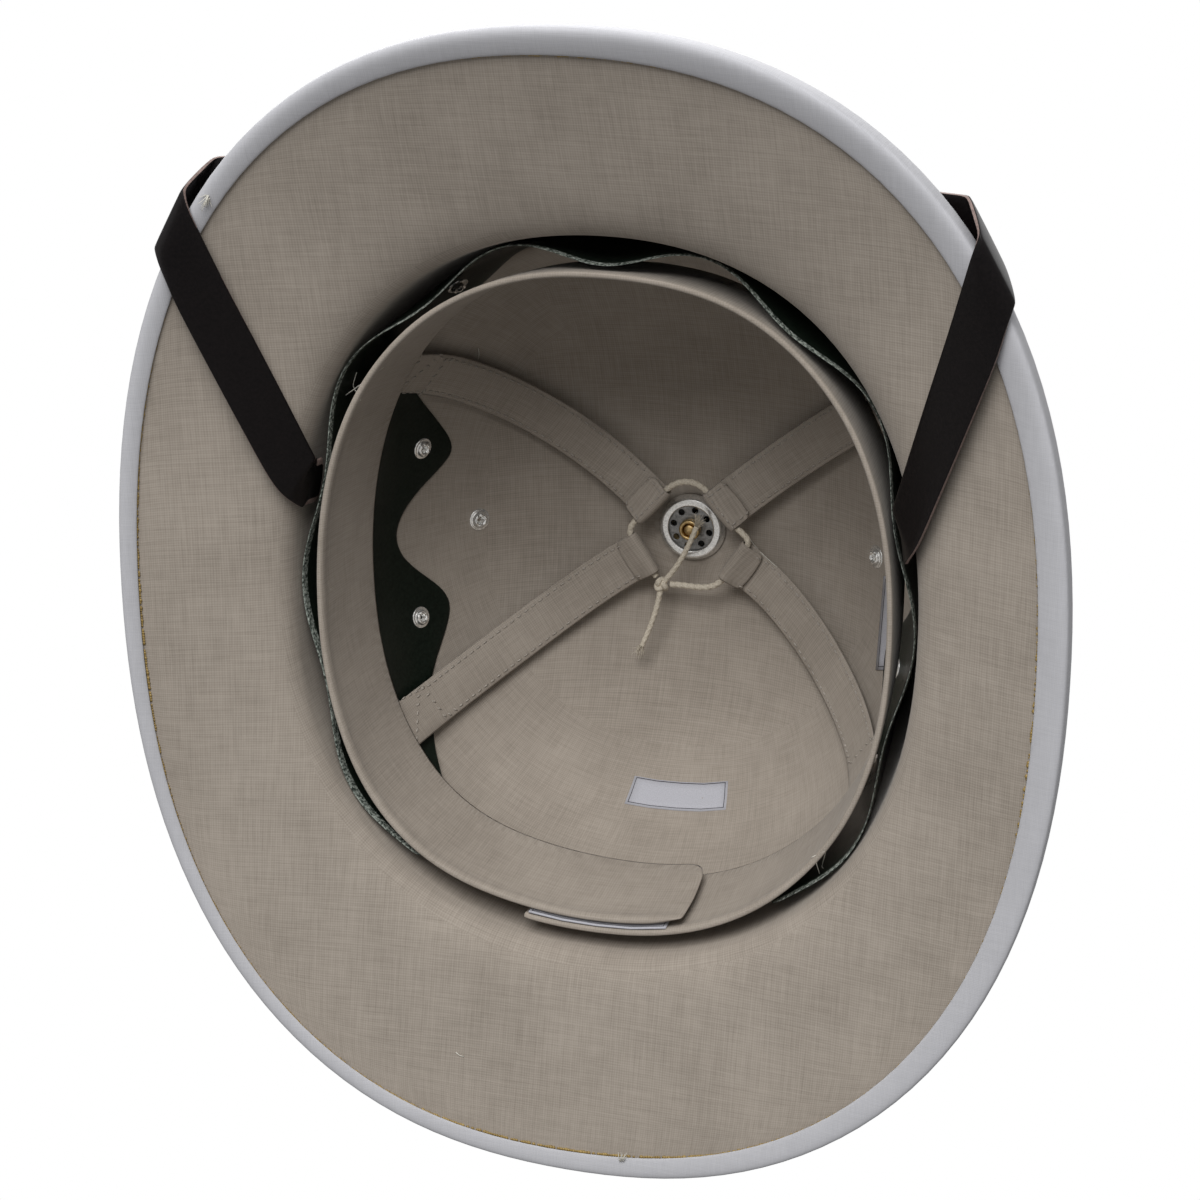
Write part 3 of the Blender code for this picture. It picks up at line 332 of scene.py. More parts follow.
floor_data.materials.append(floor_finish)
bpy.context.scene.collection.objects.link(floor)

world = bpy.data.worlds.new("studio")
bpy.context.scene.world = world
world.use_nodes = True
air = world.node_tree
plain = air.nodes["Background"]
white = air.nodes.new("ShaderNodeBackground")
for ground, strength in ((plain, AIR_LIGHT), (white, 1.0)):
    ground.inputs["Color"].default_value = WHITE
    ground.inputs["Strength"].default_value = strength
ray = air.nodes.new("ShaderNodeLightPath").outputs
in_view = either_of(air, ray["Is Camera Ray"], ray["Is Glossy Ray"], ray["Is Transmission Ray"])
mixed(air, in_view, plain, white, "World Output")

LAMPS_AIM = Vector((0.0, 0.0, 0.06))


def lamp(name, place, size, watts):
    """Square soft lamp turned towards the crown."""
    data = bpy.data.lights.new(name, "AREA")
    data.size = size
    data.energy = watts
    made = bpy.data.objects.new(name, data)
    made.location = place
    made.rotation_mode = "QUATERNION"
    made.rotation_quaternion = (LAMPS_AIM - Vector(place)).to_track_quat("-Z", "Y")
    bpy.context.scene.collection.objects.link(made)


lamp("lamp_below_front", (0.0, -1.12, -0.85), 1.0, 23.0)
lamp("lamp_above", (-0.70, -0.90, 1.30), 1.2, 40.0)

# ------------ cloth lining
# Grey-brown drill cloth, glued to the inside of the cork crown, turned over its lip and
# carried on over the underside of the brim. Slubs show among its fine crossing threads.


def reach(place):
    """Distance from the upright line through the origin."""
    return math.hypot(place.x, place.y)


def make_quads(mesh, faces):
    """Join triangles that lie nearly flat to each other."""
    bmesh.ops.join_triangles(mesh, faces=faces, angle_face_threshold=math.radians(40.0),
                             angle_shape_threshold=math.radians(60.0))


def merged_copy(*nodes):
    """The CAD solids' own shapes as one quad mesh, to be smoothed and worked on."""
    mesh = bmesh.new()
    for node in nodes:
        mesh.from_mesh(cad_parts[node].data)
    bmesh.ops.remove_doubles(mesh, verts=mesh.verts, dist=0.00002)
    make_quads(mesh, mesh.faces)
    return mesh


def across_edges(face, thickness):
    """The face's edges that run through the cloth's thickness."""
    return [edge for edge in face.edges if edge.calc_length() < thickness * 1.25]


def fill_openings(mesh):
    """Drop edges that carry no face, and close every opening with one face."""
    loose = [edge for edge in mesh.edges if not edge.link_faces]
    bmesh.ops.delete(mesh, geom=loose, context="EDGES")
    bmesh.ops.holes_fill(mesh, edges=[edge for edge in mesh.edges if edge.is_boundary], sides=0)


HOLE_WALL = 0.0000025       # a facet of a drilled hole's wall is smaller than this area


def close_holes(mesh, thickness, floor_height, ceiling=1.0):
    """Take out the walls of drilled holes between two heights, and close the cloth over them."""
    walls = [face for face in mesh.faces if len(across_edges(face, thickness)) >= 2
             and floor_height < face.calc_center_median().z < ceiling and face.calc_area() < HOLE_WALL]
    rims = {vert for face in walls for vert in face.verts}
    bmesh.ops.delete(mesh, geom=walls, context="FACES_ONLY")
    fill_openings(mesh)
    bmesh.ops.dissolve_verts(mesh, verts=[vert for vert in mesh.verts if vert in rims])
    fill_openings(mesh)
    patches = [face for face in mesh.faces if len(face.verts) > 5]
    cut = bmesh.ops.triangulate(mesh, faces=patches, quad_method="BEAUTY", ngon_method="BEAUTY")
    make_quads(mesh, cut["faces"])


LEVEL_CLOTH = 0.72          # upward share of the normal above which cloth counts as level


def lay_weave(mesh, around=0.1, along=None):
    """UV map in metres: flat on level cloth, round the helmet on steep cloth, or down a strap."""
    layer = mesh.loops.layers.uv.new("weave")
    across = along.cross(Vector((0.0, 0.0, 1.0))).normalized() if along else None
    mesh.normal_update()
    for face in mesh.faces:
        middle = face.calc_center_median()
        first = math.atan2(middle.y, middle.x)
        for loop in face.loops:
            place = loop.vert.co
            turn = math.atan2(place.y, place.x) - first
            turn = (turn + math.pi) % (2.0 * math.pi) - math.pi
            if along:
                loop[layer].uv = (place.dot(across), place.dot(along))
            elif abs(face.normal.z) > LEVEL_CLOTH:
                loop[layer].uv = place.xy
            else:
                loop[layer].uv = ((first + turn) * around, reach(place) * 0.5 - place.z)


def rounded(made, levels):
    """Smooth the facets away."""
    smoother = made.modifiers.new("smooth", "SUBSURF")
    smoother.levels = levels
    smoother.render_levels = levels
    return made


def woven(name, light, dark, thread, mottle, depth=0.00012, rough=0.9):
    """Plain weave on the weave map, with slubs, soft mottling and a fibrous bump.

    thread is the width of one thread in metres, and mottle is the share of the soft stains.
    """
    made, tree, shader = shaded(name, rough)
    new, link = tree.nodes.new, tree.links.new
    shader.inputs["Sheen Weight"].default_value = 0.1
    shader.inputs["Specular IOR Level"].default_value = 0.25
    where = new("ShaderNodeUVMap")
    where.uv_map = "weave"
    relief = 0.0
    for direction in ("X", "Y"):
        wave = new("ShaderNodeTexWave")
        wave.bands_direction = direction
        wave.inputs["Scale"].default_value = 0.314 / thread
        wave.inputs["Distortion"].default_value = 1.6
        wave.inputs["Detail"].default_value = 2.0
        wave.inputs["Detail Scale"].default_value = 0.6
        link(where.outputs["UV"], wave.inputs["Vector"])
        relief = maths(tree, "MULTIPLY_ADD", wave.outputs["Fac"], 0.14, relief)
    for stretch in ((1.0, 0.06, 1.0), (0.06, 1.0, 1.0)):
        squeeze = new("ShaderNodeMapping")
        squeeze.inputs["Scale"].default_value = stretch
        link(where.outputs["UV"], squeeze.inputs["Vector"])
        slubs = noise_of(tree, squeeze.outputs["Vector"], 0.9 / thread, detail=3.0)
        relief = maths(tree, "MULTIPLY_ADD", slubs, 0.42, relief)
    stains = noise_of(tree, new("ShaderNodeTexCoord").outputs["Object"], 38.0, detail=5.0, rough=0.62)
    total = maths(tree, "MULTIPLY_ADD", stains, mottle, relief)
    ramp = (0.35 + mottle * 0.3, 0.80 + mottle * 0.7)
    link(tinted(tree, total, dark, light, ramp), shader.inputs["Base Color"])
    bumped(tree, shader, relief, 0.55, depth)
    return made


LINING_THICKNESS = 0.0006
MITRE = LINING_THICKNESS * 1.25
LIP_TOP = 0.050             # nothing of the lip is higher than this
LIP_OUT = 0.125             # or further out than this
VENT_MARGIN = 0.004         # the ventilator's own hole stays open from this far below its tube
drill = woven("drill_cloth", (0.372, 0.326, 0.278), (0.232, 0.200, 0.166), 0.00075, 0.5)
mesh = merged_copy("crown_lining", "brim_lining")
close_holes(mesh, LINING_THICKNESS, LIP_TOP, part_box("vent_tube")[0][2] - VENT_MARGIN)
cut_faces = [face for face in mesh.faces if len(across_edges(face, MITRE)) >= 2
             and face.calc_center_median().z < LIP_TOP and reach(face.calc_center_median()) < LIP_OUT]
near_side = set()
for face in cut_faces:
    for edge in across_edges(face, MITRE):
        near_side.add(min(edge.verts, key=lambda vert: reach(vert.co)))
bmesh.ops.delete(mesh, geom=cut_faces, context="FACES")
open_edges = [edge for edge in mesh.edges if edge.is_boundary]
for seen_side in (True, False):
    loops = [edge for edge in open_edges if all((vert in near_side) == seen_side for vert in edge.verts)]
    bmesh.ops.bridge_loops(mesh, edges=loops)
bmesh.ops.recalc_face_normals(mesh, faces=mesh.faces)
lay_weave(mesh)
lining = rounded(add_piece("lining_cloth", mesh, [drill]), 2)
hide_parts("crown_lining", "brim_lining")

# ------------ cork shell
# The body of the helmet: pressed cork granules, moulded in one piece. It shows inside the
# ventilator, and its lip and rim keep back a little from the cloth that is turned over them.
cork = speckled("pressed_cork", (0.16, 0.095, 0.050), (0.52, 0.36, 0.21), 420.0, 0.95,
                bump_depth=0.0004)
RIM_HALF_WIDTH = 0.1415
RIM_HALF_LENGTH = 0.1715
RIM_SHARE = 0.97            # the rim begins at this share of the way out
CORK_EASE = 0.0009          # how far the cork's lip and rim keep back
mesh = merged_copy("shell_body")
mesh.normal_update()
for vert in mesh.verts:
    at_lip = reach(vert.co) < LIP_OUT and vert.co.z < LIP_TOP and vert.normal.z < 0.3
    if at_lip or math.hypot(vert.co.x / RIM_HALF_WIDTH, vert.co.y / RIM_HALF_LENGTH) > RIM_SHARE:
        vert.co -= vert.normal * CORK_EASE
lay_weave(mesh)
shell = add_piece("cork_shell_pressed", mesh, [cork])
shell.data.set_sharp_from_angle(angle=math.radians(35.0))
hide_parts("shell_body")

# ------------ white outer cloth
# White cotton over the cork: one piece on the brim, and six panels on the crown that meet in
# sewn seams. Each seam is covered by a narrow strip of the same cloth, stitched on both sides.


def finished_surface(made):
    """Search tree of a piece as its modifiers leave it."""
    return BVHTree.FromObject(made, bpy.context.evaluated_depsgraph_get())


def stitch_row(mesh, surface, line, stitch):
    """Row of sewing stitches along a line, pressed on a surface.

    stitch gives the gap between two stitches, the length of one and its thickness.
    """
    gap, length, thickness = stitch
    for start in even(line, gap):
        place, normal, _, _ = surface.find_nearest(start)
        ahead = min(line, key=lambda point: (point - start).length)
        number = line.index(ahead)
        way = line[min(number + 1, len(line) - 1)] - line[max(number - 1, 0)]
        way = (way - normal * way.dot(normal)).normalized()
        side = normal.cross(way)
        turn = Matrix((way * length / 2.0, side * thickness / 2.0, normal * thickness / 2.0)).transposed()
        placed = Matrix.Translation(place + normal * thickness * 0.2) @ turn.to_4x4()
        bmesh.ops.create_icosphere(mesh, subdivisions=1, radius=1.0, matrix=placed)


white_cotton = woven("white_cotton", (0.76, 0.755, 0.735), (0.60, 0.595, 0.575), 0.0006, 0.35,
                     rough=0.92)
white_thread = speckled("white_thread", (0.50, 0.50, 0.48), (0.78, 0.78, 0.75), 3000.0, 0.85)
CROWN_PANELS = 6
covers = []
for node in ["brim_cover"] + [f"crown_cover_{number + 1}" for number in range(CROWN_PANELS)]:
    mesh = merged_copy(node)
    lay_weave(mesh)
    cover = rounded(add_piece(node.replace("cover", "cloth"), mesh, [white_cotton]), 2)
    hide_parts(node)
    covers.append(cover)

vent_low, vent_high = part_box("vent_top_ring")
AXIS = Vector(((vent_low[0] + vent_high[0]) / 2.0, (vent_low[1] + vent_high[1]) / 2.0, 0.0))
CROWN_MIDDLE = AXIS + Vector((0.0, 0.0, 0.035))
SEAM_STRIP = 0.0032         # half the width of the strip over a seam
SEAM_GAP = 0.0015           # no two panels are further apart than this at their seam
SEAM_ROWS = 26
SEAM_PROFILE = ((0.0, 0.0), (0.2, 0.0006), (0.5, 0.0009), (0.8, 0.0006), (1.0, 0.0))
SEAM_STITCH = (0.0030, 0.0021, 0.0007)
CAST_FROM = 0.25            # outside the crown, as seen from its middle
CAST_LENGTH = 0.24
panels = [finished_surface(cover) for cover in covers[1:]]


def gap_line(one, other):
    """Middle of the gap between two panels, from low to high, in even steps."""
    middles = []
    for vert in one.data.vertices:
        twin = min(other.data.vertices, key=lambda item: (item.co - vert.co).length)
        if (twin.co - vert.co).length < SEAM_GAP:
            middles.append((vert.co + twin.co) / 2.0)
    middles = softened(even(sorted(middles, key=lambda place: place.z), 0.002), 12)
    return even(middles, length_of(middles) / SEAM_ROWS)


def thicken(made, thickness, offset):
    """Give a single layer of cloth its thickness: all of it inward at offset -1."""
    cloth = made.modifiers.new("cloth", "SOLIDIFY")
    cloth.thickness = thickness
    cloth.offset = offset


seam_mesh = bmesh.new()
ridges = []
for number in range(CROWN_PANELS):
    line = gap_line(covers[1 + number], covers[1 + (number + 1) % CROWN_PANELS])
    rows = []
    for index, point in enumerate(line):
        way = (point - CROWN_MIDDLE).normalized()
        along = line[min(index + 1, len(line) - 1)] - line[max(index - 1, 0)]
        aside = along.cross(way).normalized()
        row = []
        for offset in (-SEAM_STRIP, SEAM_STRIP):
            start = CROWN_MIDDLE + way * CAST_FROM + aside * offset
            hits = [panel.ray_cast(start, -way, CAST_LENGTH) for panel in panels]
            hits = [hit for hit in hits if hit[0]]
            if hits:
                place, normal, _, _ = min(hits, key=lambda hit: hit[3])
                row.append(place + normal * 0.0003)
        if len(row) == 2:
            rows.append([row[0].lerp(row[1], share) + way * rise for share, rise in SEAM_PROFILE])
    strip_verts = bmesh.ops.create_grid(seam_mesh, x_segments=len(SEAM_PROFILE) - 1,
                                        y_segments=len(rows) - 1, size=1.0)["verts"]
    for index, vert in enumerate(strip_verts):
        row, column = divmod(index, len(SEAM_PROFILE))
        vert.co = rows[row][column]
    ridges += [[row[1] for row in rows], [row[-2] for row in rows]]
bmesh.ops.recalc_face_normals(seam_mesh, faces=seam_mesh.faces)
lay_weave(seam_mesh)
seams = add_piece("crown_seam_strips", seam_mesh, [white_cotton])
thicken(seams, 0.0006, -1.0)
rounded(seams, 1)
seam_surface = finished_surface(seams)
seam_stitches = bmesh.new()
for ridge in ridges:
    stitch_row(seam_stitches, seam_surface, ridge, SEAM_STITCH)
add_piece("crown_seam_stitches", seam_stitches, [white_thread])

# The cork's outer side carries an under-cover of the same cloth.
shell.data.materials.append(white_cotton)
for face in shell.data.polygons:
    if face.normal.z > -0.05 and face.normal.dot(face.center - CROWN_MIDDLE) > 0.0:
        face.material_index = 1

# ------------ binding tape
# White woven tape folded over the rim of the brim and machine sewn near its inner edge. On
# the underside a yellowed line of glue has squeezed out beside it.


def rim_angle(place):
    """Angle round the brim's oval."""
    return math.atan2(place.y / RIM_HALF_LENGTH, place.x / RIM_HALF_WIDTH)


tape = woven("binding_tape", (0.53, 0.53, 0.555), (0.42, 0.42, 0.44), 0.0005, 0.3, depth=0.00008)
mesh = merged_copy("brim_binding")
COLUMNS = 36
TAPE_WIDER = 0.0030         # the tape reaches this much further in, more at the front right
TAPE_UNEVEN = 0.0024
TAPE_LEG = 0.0045           # height of the tape's lower leg over its lowest point
TAPE_STITCH = (0.0028, 0.0019, 0.00055)
edge_line = []
stitch_line = []
lining_surface = finished_surface(lining)
for column in range(COLUMNS):
    turn = 2.0 * math.pi * column / COLUMNS
    ring = [vert.co for vert in mesh.verts
            if abs((rim_angle(vert.co) - turn + math.pi) % (2.0 * math.pi) - math.pi) < 0.02]
    lowest = min(place.z for place in ring)
    leg = [place for place in ring if place.z < lowest + TAPE_LEG]
    edge = min(leg, key=reach)
    outward = Vector((edge.x, edge.y, 0.0)).normalized()
    _, normal, _, _ = lining_surface.find_nearest(edge)
    inward = (-outward - normal * normal.dot(-outward)).normalized()
    wider = inward * (TAPE_WIDER + TAPE_UNEVEN * math.cos(turn + math.radians(30.0)))
    for place in [place for place in leg if reach(place) < reach(edge) + 0.0003]:
        place += wider
    edge_line.append(edge - outward * 0.0002)
    stitch_line.append(edge + outward * 0.0014)
lay_weave(mesh, 0.155)
binding = rounded(add_piece("brim_binding_tape", mesh, [tape]), 2)
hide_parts("brim_binding")


def closed_line(points, step):
    """Smooth closed line through the points, a step apart."""
    count = len(points)
    line = []
    for number in range(count):
        before, start, stop, after = (points[(number + shift) % count] for shift in (-1, 0, 1, 2))
        for part in range(8):
            share = part / 8.0
            line.append(0.5 * (2.0 * start + (stop - before) * share
                               + (2.0 * before - 5.0 * start + 4.0 * stop - after) * share ** 2
                               + (3.0 * start - before - 3.0 * stop + after) * share ** 3))
    return even(line + [line[0]], step)


tape_surface = finished_surface(binding)
tape_stitches = bmesh.new()
stitch_row(tape_stitches, tape_surface, closed_line(stitch_line, 0.004), TAPE_STITCH)
add_piece("binding_stitches", tape_stitches, [white_thread])

glue = speckled("yellowed_glue", (0.20, 0.13, 0.035), (0.40, 0.28, 0.09), 700.0, 0.45, bump_depth=0.0001)
chance = random.Random(11)
glue_mesh = bmesh.new()
for place in closed_line(edge_line, 0.0008):
    turn = math.degrees(math.atan2(place.y, place.x)) % 360.0
    plenty = 0.9 if 60.0 < turn < 235.0 else 0.55
    if chance.random() < plenty:
        bed, normal, _, _ = lining_surface.find_nearest(place)
        inward = Vector((-place.x, -place.y, 0.0)).normalized()
        size = chance.uniform(0.00028, 0.00052)
        spot = (Matrix.Translation(bed + inward * 0.0002)
                @ Matrix.Diagonal((size * 1.6, size * 1.6, size * 0.7, 1.0)))
        bmesh.ops.create_icosphere(glue_mesh, subdivisions=1, radius=1.0, matrix=spot)
add_piece("binding_glue_line", glue_mesh, [glue])

# ------------ pleated hat band
# Long strip of white cotton wound round the foot of the crown, each turn folded and lapped
# over the one below, so that the folds run a little unevenly.


CLOTH_SEED = 17             # without it the smooth noise starts from the clock


def uneven(mesh, amount, size, upward=1.0):
    """Push a piece's points about by smooth noise, as cloth that was laid by hand."""
    for vert in mesh.verts:
        push = noise.noise_vector(vert.co / size) * amount
        push.z *= upward
        vert.co += push


noise.seed_set(CLOTH_SEED)
mesh = merged_copy("hat_band")
bmesh.ops.subdivide_edges(mesh, edges=mesh.edges, cuts=1, use_grid_fill=True)
uneven(mesh, 0.0006, 0.022, 1.6)
lay_weave(mesh)
band = rounded(add_piece("hat_band_cloth", mesh, [white_cotton]), 1)
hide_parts("hat_band")

# ------------ headband
# Sweatband of the same drill over a stiff core, with its lower edge rolled. It
# laps over itself at the rear, where its free end shows a raw, folded edge.
mesh = merged_copy("headband")
uneven(mesh, 0.0005, 0.030)
lay_weave(mesh, 0.09)
headband = rounded(add_piece("headband_cloth", mesh, [drill]), 2)
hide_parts("headband")

# ------------ spacer strip
# Dark green oiled cloth, cut to a scalloped upper edge and left raw, that holds the headband
# off the crown. It waves from tab to tab, and each tab is riveted to the cork.
oilcloth = speckled("oiled_cloth", (0.003, 0.0055, 0.0035), (0.010, 0.015, 0.011), 900.0, 0.34,
                    bump_depth=0.0001, gloss=0.14)
raw_edge = speckled("raw_cut_edge", (0.012, 0.020, 0.014), (0.42, 0.46, 0.41), 1100.0, 0.9,
                    bump_depth=0.0002, ramp=(0.42, 0.66))
STRIP_THICKNESS = 0.0008
TABS_LOW = 0.045            # the tabs' holes are all higher than this
mesh = merged_copy("spacer_strip")
close_holes(mesh, STRIP_THICKNESS, TABS_LOW)
mesh.normal_update()
for face in mesh.faces:
    out = Vector((*face.calc_center_median().xy, 0.0)).normalized()
    if len(across_edges(face, STRIP_THICKNESS)) >= 2 and abs(face.normal.dot(out)) < 0.6:
        face.material_index = 1
strip = rounded(add_piece("spacer_strip_cloth", mesh, [oilcloth, raw_edge]), 2)
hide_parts("spacer_strip")

# ------------ rivets
# Hollow nickel-plated rivets with a flange and a rolled, star-split rim, set from inside
# through tab, lining and cork. Two more of them sit on the lining at the helmet's sides.
nickel = speckled("nickel_plate", (0.64, 0.64, 0.63), (0.95, 0.95, 0.93), 1300.0, 0.20, metallic=0.82,
                  bump_depth=0.00002)
RIVET_OUTLINE = ((0.0, -0.06), (0.16, -0.05), (0.25, 0.20), (0.36, 0.40), (0.50, 0.44), (0.62, 0.34),
                 (0.70, 0.16), (0.78, 0.10), (0.92, 0.12), (1.0, 0.06), (1.0, -0.12))
TAB_RIVET_RADIUS = 0.0036
SIDE_RIVET_RADIUS = 0.0038
SPLITS = 6                  # splits of the rolled rim


def spun(mesh, outline, steps, placed):
    """Spin an outline of (radius, height) points in an empty mesh, then put it in place."""
    verts = [mesh.verts.new((radius, 0.0, height)) for radius, height in outline]
    edges = [mesh.edges.new(pair) for pair in zip(verts, verts[1:])]
    bmesh.ops.spin(mesh, geom=verts + edges, axis=(0.0, 0.0, 1.0), cent=(0.0, 0.0, 0.0),
                   angle=2.0 * math.pi, steps=steps, use_merge=True)
    bmesh.ops.transform(mesh, matrix=placed, verts=mesh.verts)
    bmesh.ops.remove_doubles(mesh, verts=mesh.verts, dist=0.000002)


def rivet_head(node, surface):
    """Place and turn of a rivet's head, on the surface that it clamps."""
    places = [vert.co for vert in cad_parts[node].data.vertices]
    middle = sum(places, Vector()) / len(places)
    inward = (Vector((AXIS.x, AXIS.y, middle.z - 0.01)) - middle).normalized()
    place, normal, _, _ = surface.find_nearest(middle + inward * 0.003)
    if normal.dot(inward) < 0.0:
        normal = -normal
    return place, normal


chance = random.Random(23)
tab_surface = finished_surface(strip)
rivets = [(f"tab_rivet_{number + 1}", TAB_RIVET_RADIUS, tab_surface) for number in range(7)]
rivets += [(f"side_rivet_{side}", SIDE_RIVET_RADIUS, lining_surface) for side in ("right", "left")]
for node, radius, surface in rivets:
    place, normal = rivet_head(node, surface)
    turn = normal.to_track_quat("Z", "Y").to_matrix().to_4x4()
    rivet_mesh = bmesh.new()
    spun(rivet_mesh, RIVET_OUTLINE, 32, Matrix.Scale(radius, 4))
    splits = chance.uniform(0.0, 6.28)
    for vert in rivet_mesh.verts:
        share = math.hypot(vert.co.x, vert.co.y) / radius
        if 0.25 < share < 0.65:
            around = math.atan2(vert.co.y, vert.co.x)
            vert.co.z += radius * 0.035 * math.cos(SPLITS * around + splits)
    bmesh.ops.transform(rivet_mesh, matrix=Matrix.Translation(place) @ turn, verts=rivet_mesh.verts)
    bmesh.ops.recalc_face_normals(rivet_mesh, faces=rivet_mesh.faces)
    rivet = rounded(add_piece(node + "_head", rivet_mesh, [nickel]), 1)
    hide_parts(node)

# ------------ ventilator
# Drawn metal collar through the top of the crown, with a zinc disc of eight air holes in it.
# A brass nut in the disc takes the screw stem of the cloth-covered cap outside.
zinc = speckled("dull_zinc", (0.16, 0.16, 0.16), (0.34, 0.34, 0.335), 800.0, 0.48, metallic=1.0,
                bump_depth=0.00005)
brass = speckled("worn_brass", (0.30, 0.19, 0.07), (0.72, 0.54, 0.28), 900.0, 0.36, metallic=1.0,
                 bump_depth=0.00004)
black_leather = speckled("black_leather", (0.0028, 0.0022, 0.0024), (0.0070, 0.0054, 0.0056), 1100.0,
                         0.34, bump_depth=0.0001, gloss=0.13)


def spun_piece(name, outline, finish, node, steps=64):
    """Turned piece of the ventilator, in place of its node."""
    made_mesh = bmesh.new()
    spun(made_mesh, outline, steps, Matrix.Translation(AXIS))
    bmesh.ops.recalc_face_normals(made_mesh, faces=made_mesh.faces)
    made = rounded(add_piece(name, made_mesh, [finish]), 1)
    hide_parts(node)


def levels_of(node):
    """Lowest and highest height of a node."""
    low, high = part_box(node)
    return low[2], high[2]


tube_low, tube_high = levels_of("vent_tube")
flange_low = tube_low + 0.0017
spun_piece("vent_collar", (
    (0.0093, tube_high), (0.0093, flange_low + 0.0012), (0.0111, flange_low + 0.0012),
    (0.0115, flange_low + 0.0009), (0.0114, flange_low + 0.0004), (0.0110, flange_low),
    (0.0104, tube_low + 0.0006), (0.0101, tube_low + 0.0001), (0.0096, tube_low),
    (0.0079, tube_low), (0.0077, tube_low + 0.0002), (0.0077, tube_low + 0.0008),
    (0.0085, tube_low + 0.0008), (0.0085, tube_high), (0.0093, tube_high)),
    nickel, "vent_tube")

DISC_RADIUS = 0.0082
DISC_BORE = 0.0030
DISC_BEVEL = 0.0001
AIR_HOLES = 8
AIR_HOLE_REACH = 0.0062
AIR_HOLE_RADIUS = 0.0012
CIRCLE_POINTS = 40
disc_low, disc_high = levels_of("vent_disc")
disc_curve = bpy.data.curves.new("vent_disc_holed", "CURVE")
disc_curve.dimensions = "2D"
disc_curve.fill_mode = "BOTH"
disc_curve.extrude = (disc_high - disc_low) / 2.0 - DISC_BEVEL
disc_curve.bevel_depth = DISC_BEVEL
disc_curve.bevel_resolution = 2
circles = [(0.0, 0.0, DISC_RADIUS), (0.0, 0.0, DISC_BORE)]
for hole in range(AIR_HOLES):
    turn = math.radians(11.0 + 360.0 / AIR_HOLES * hole)
    circles.append((AIR_HOLE_REACH * math.cos(turn), AIR_HOLE_REACH * math.sin(turn), AIR_HOLE_RADIUS))
for across, along, radius in circles:
    ring = disc_curve.splines.new("POLY")
    ring.points.add(CIRCLE_POINTS - 1)
    ring.use_cyclic_u = True
    for number, point in enumerate(ring.points):
        turn = 2.0 * math.pi * number / CIRCLE_POINTS
        point.co = (across + radius * math.cos(turn), along + radius * math.sin(turn), 0.0, 1.0)
disc_flat = bpy.data.objects.new("vent_disc_flat", disc_curve)
bpy.context.scene.collection.objects.link(disc_flat)
disc_mesh = bmesh.new()
disc_mesh.from_mesh(bpy.data.meshes.new_from_object(
    disc_flat.evaluated_get(bpy.context.evaluated_depsgraph_get())))
bpy.data.objects.remove(disc_flat)
lift = Matrix.Translation(AXIS + Vector((0.0, 0.0, (disc_low + disc_high) / 2.0)))
bmesh.ops.transform(disc_mesh, matrix=lift, verts=disc_mesh.verts)
bmesh.ops.remove_doubles(disc_mesh, verts=disc_mesh.verts, dist=0.000002)
bmesh.ops.recalc_face_normals(disc_mesh, faces=disc_mesh.faces)
disc = add_piece("vent_disc_holed", disc_mesh, [zinc])
disc.data.set_sharp_from_angle(angle=math.radians(30.0))
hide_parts("vent_disc")

nut_low, nut_high = levels_of("vent_nut")
nut_face = disc_low - 0.0003
spun_piece("vent_nut_brass", (
    (0.0021, nut_high), (0.0029, nut_high), (0.0029, nut_face), (0.0034, nut_face),
    (0.0036, nut_face - 0.0003), (0.0036, nut_low + 0.0005), (0.0033, nut_low), (0.0025, nut_low),
    (0.0021, nut_low + 0.0004), (0.0021, nut_high)), brass, "vent_nut", steps=48)

ring_low, ring_high = levels_of("vent_top_ring")
spun_piece("vent_ring_outside", (
    (0.0096, ring_low), (0.0123, ring_low), (0.0122, ring_low + 0.0006), (0.0116, ring_high),
    (0.0098, ring_high), (0.0096, ring_low)), nickel, "vent_top_ring")

cap_low, cap_high = levels_of("vent_cap")
skirt = cap_high - 0.0075
boss = levels_of("vent_washer")[1] + 0.0003
dome = [(0.0165 * math.sin(turn), skirt + 0.0075 * math.cos(turn))
        for turn in (math.radians(9.0 * step) for step in range(11))]
hollow = [(0.0155 * math.sin(turn), skirt + 0.0065 * math.cos(turn))
          for turn in (math.radians(90.0 - 11.0 * step) for step in range(8))]
stem = [(0.0035, boss + 0.0004), (0.0034, boss), (0.0018, boss), (0.0018, cap_low + 0.0003),
        (0.0015, cap_low), (0.0, cap_low)]
cap_mesh = bmesh.new()
spun(cap_mesh, dome + hollow + stem, 64, Matrix.Translation(AXIS))
bmesh.ops.recalc_face_normals(cap_mesh, faces=cap_mesh.faces)
cap_mesh.normal_update()
# The stem's foot is brass. The faces of the cap's hollow that turn inward get a near-black colour, which
# is painted shade so that the air holes look dark from below.
for face in cap_mesh.faces:
    middle = face.calc_center_median()
    if reach(middle - AXIS) < 0.0036 and middle.z < skirt + 0.003:
        face.material_index = 1
    elif face.normal.dot(middle - AXIS - Vector((0.0, 0.0, skirt - 0.002))) < 0.0:
        face.material_index = 2
lay_weave(cap_mesh, 0.016)
# Near-black colour for the cap's hollow: painted shade, standing in for the dark inside of the ventilator
# seen through the air holes.
cap_hollow_shade_black = speckled("painted_shade_cap_hollow", (0.006, 0.006, 0.006), (0.022, 0.021, 0.020), 900.0, 0.5,
                     gloss=0.3)
cap = add_piece("vent_cap_covered", cap_mesh, [white_cotton, brass, cap_hollow_shade_black], "cap")
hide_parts("vent_cap")
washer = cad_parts["vent_washer"].data
washer.materials.clear()
washer.materials.append(black_leather)

# ------------ crown straps
# Four straps of doubled drill, stitched down both edges. Each comes up from behind the
# headband, hangs just off the crown, and ends in a sewn hem round the drawcord.
STRAP_WIDTH = 0.0165
SEAM_INSET = 0.14           # share of the strap's width from its edge to its stitching
STRAP_STITCH = (0.0030, 0.0021, 0.0006)
HEM_STITCH = (0.0026, 0.0018, 0.0006)


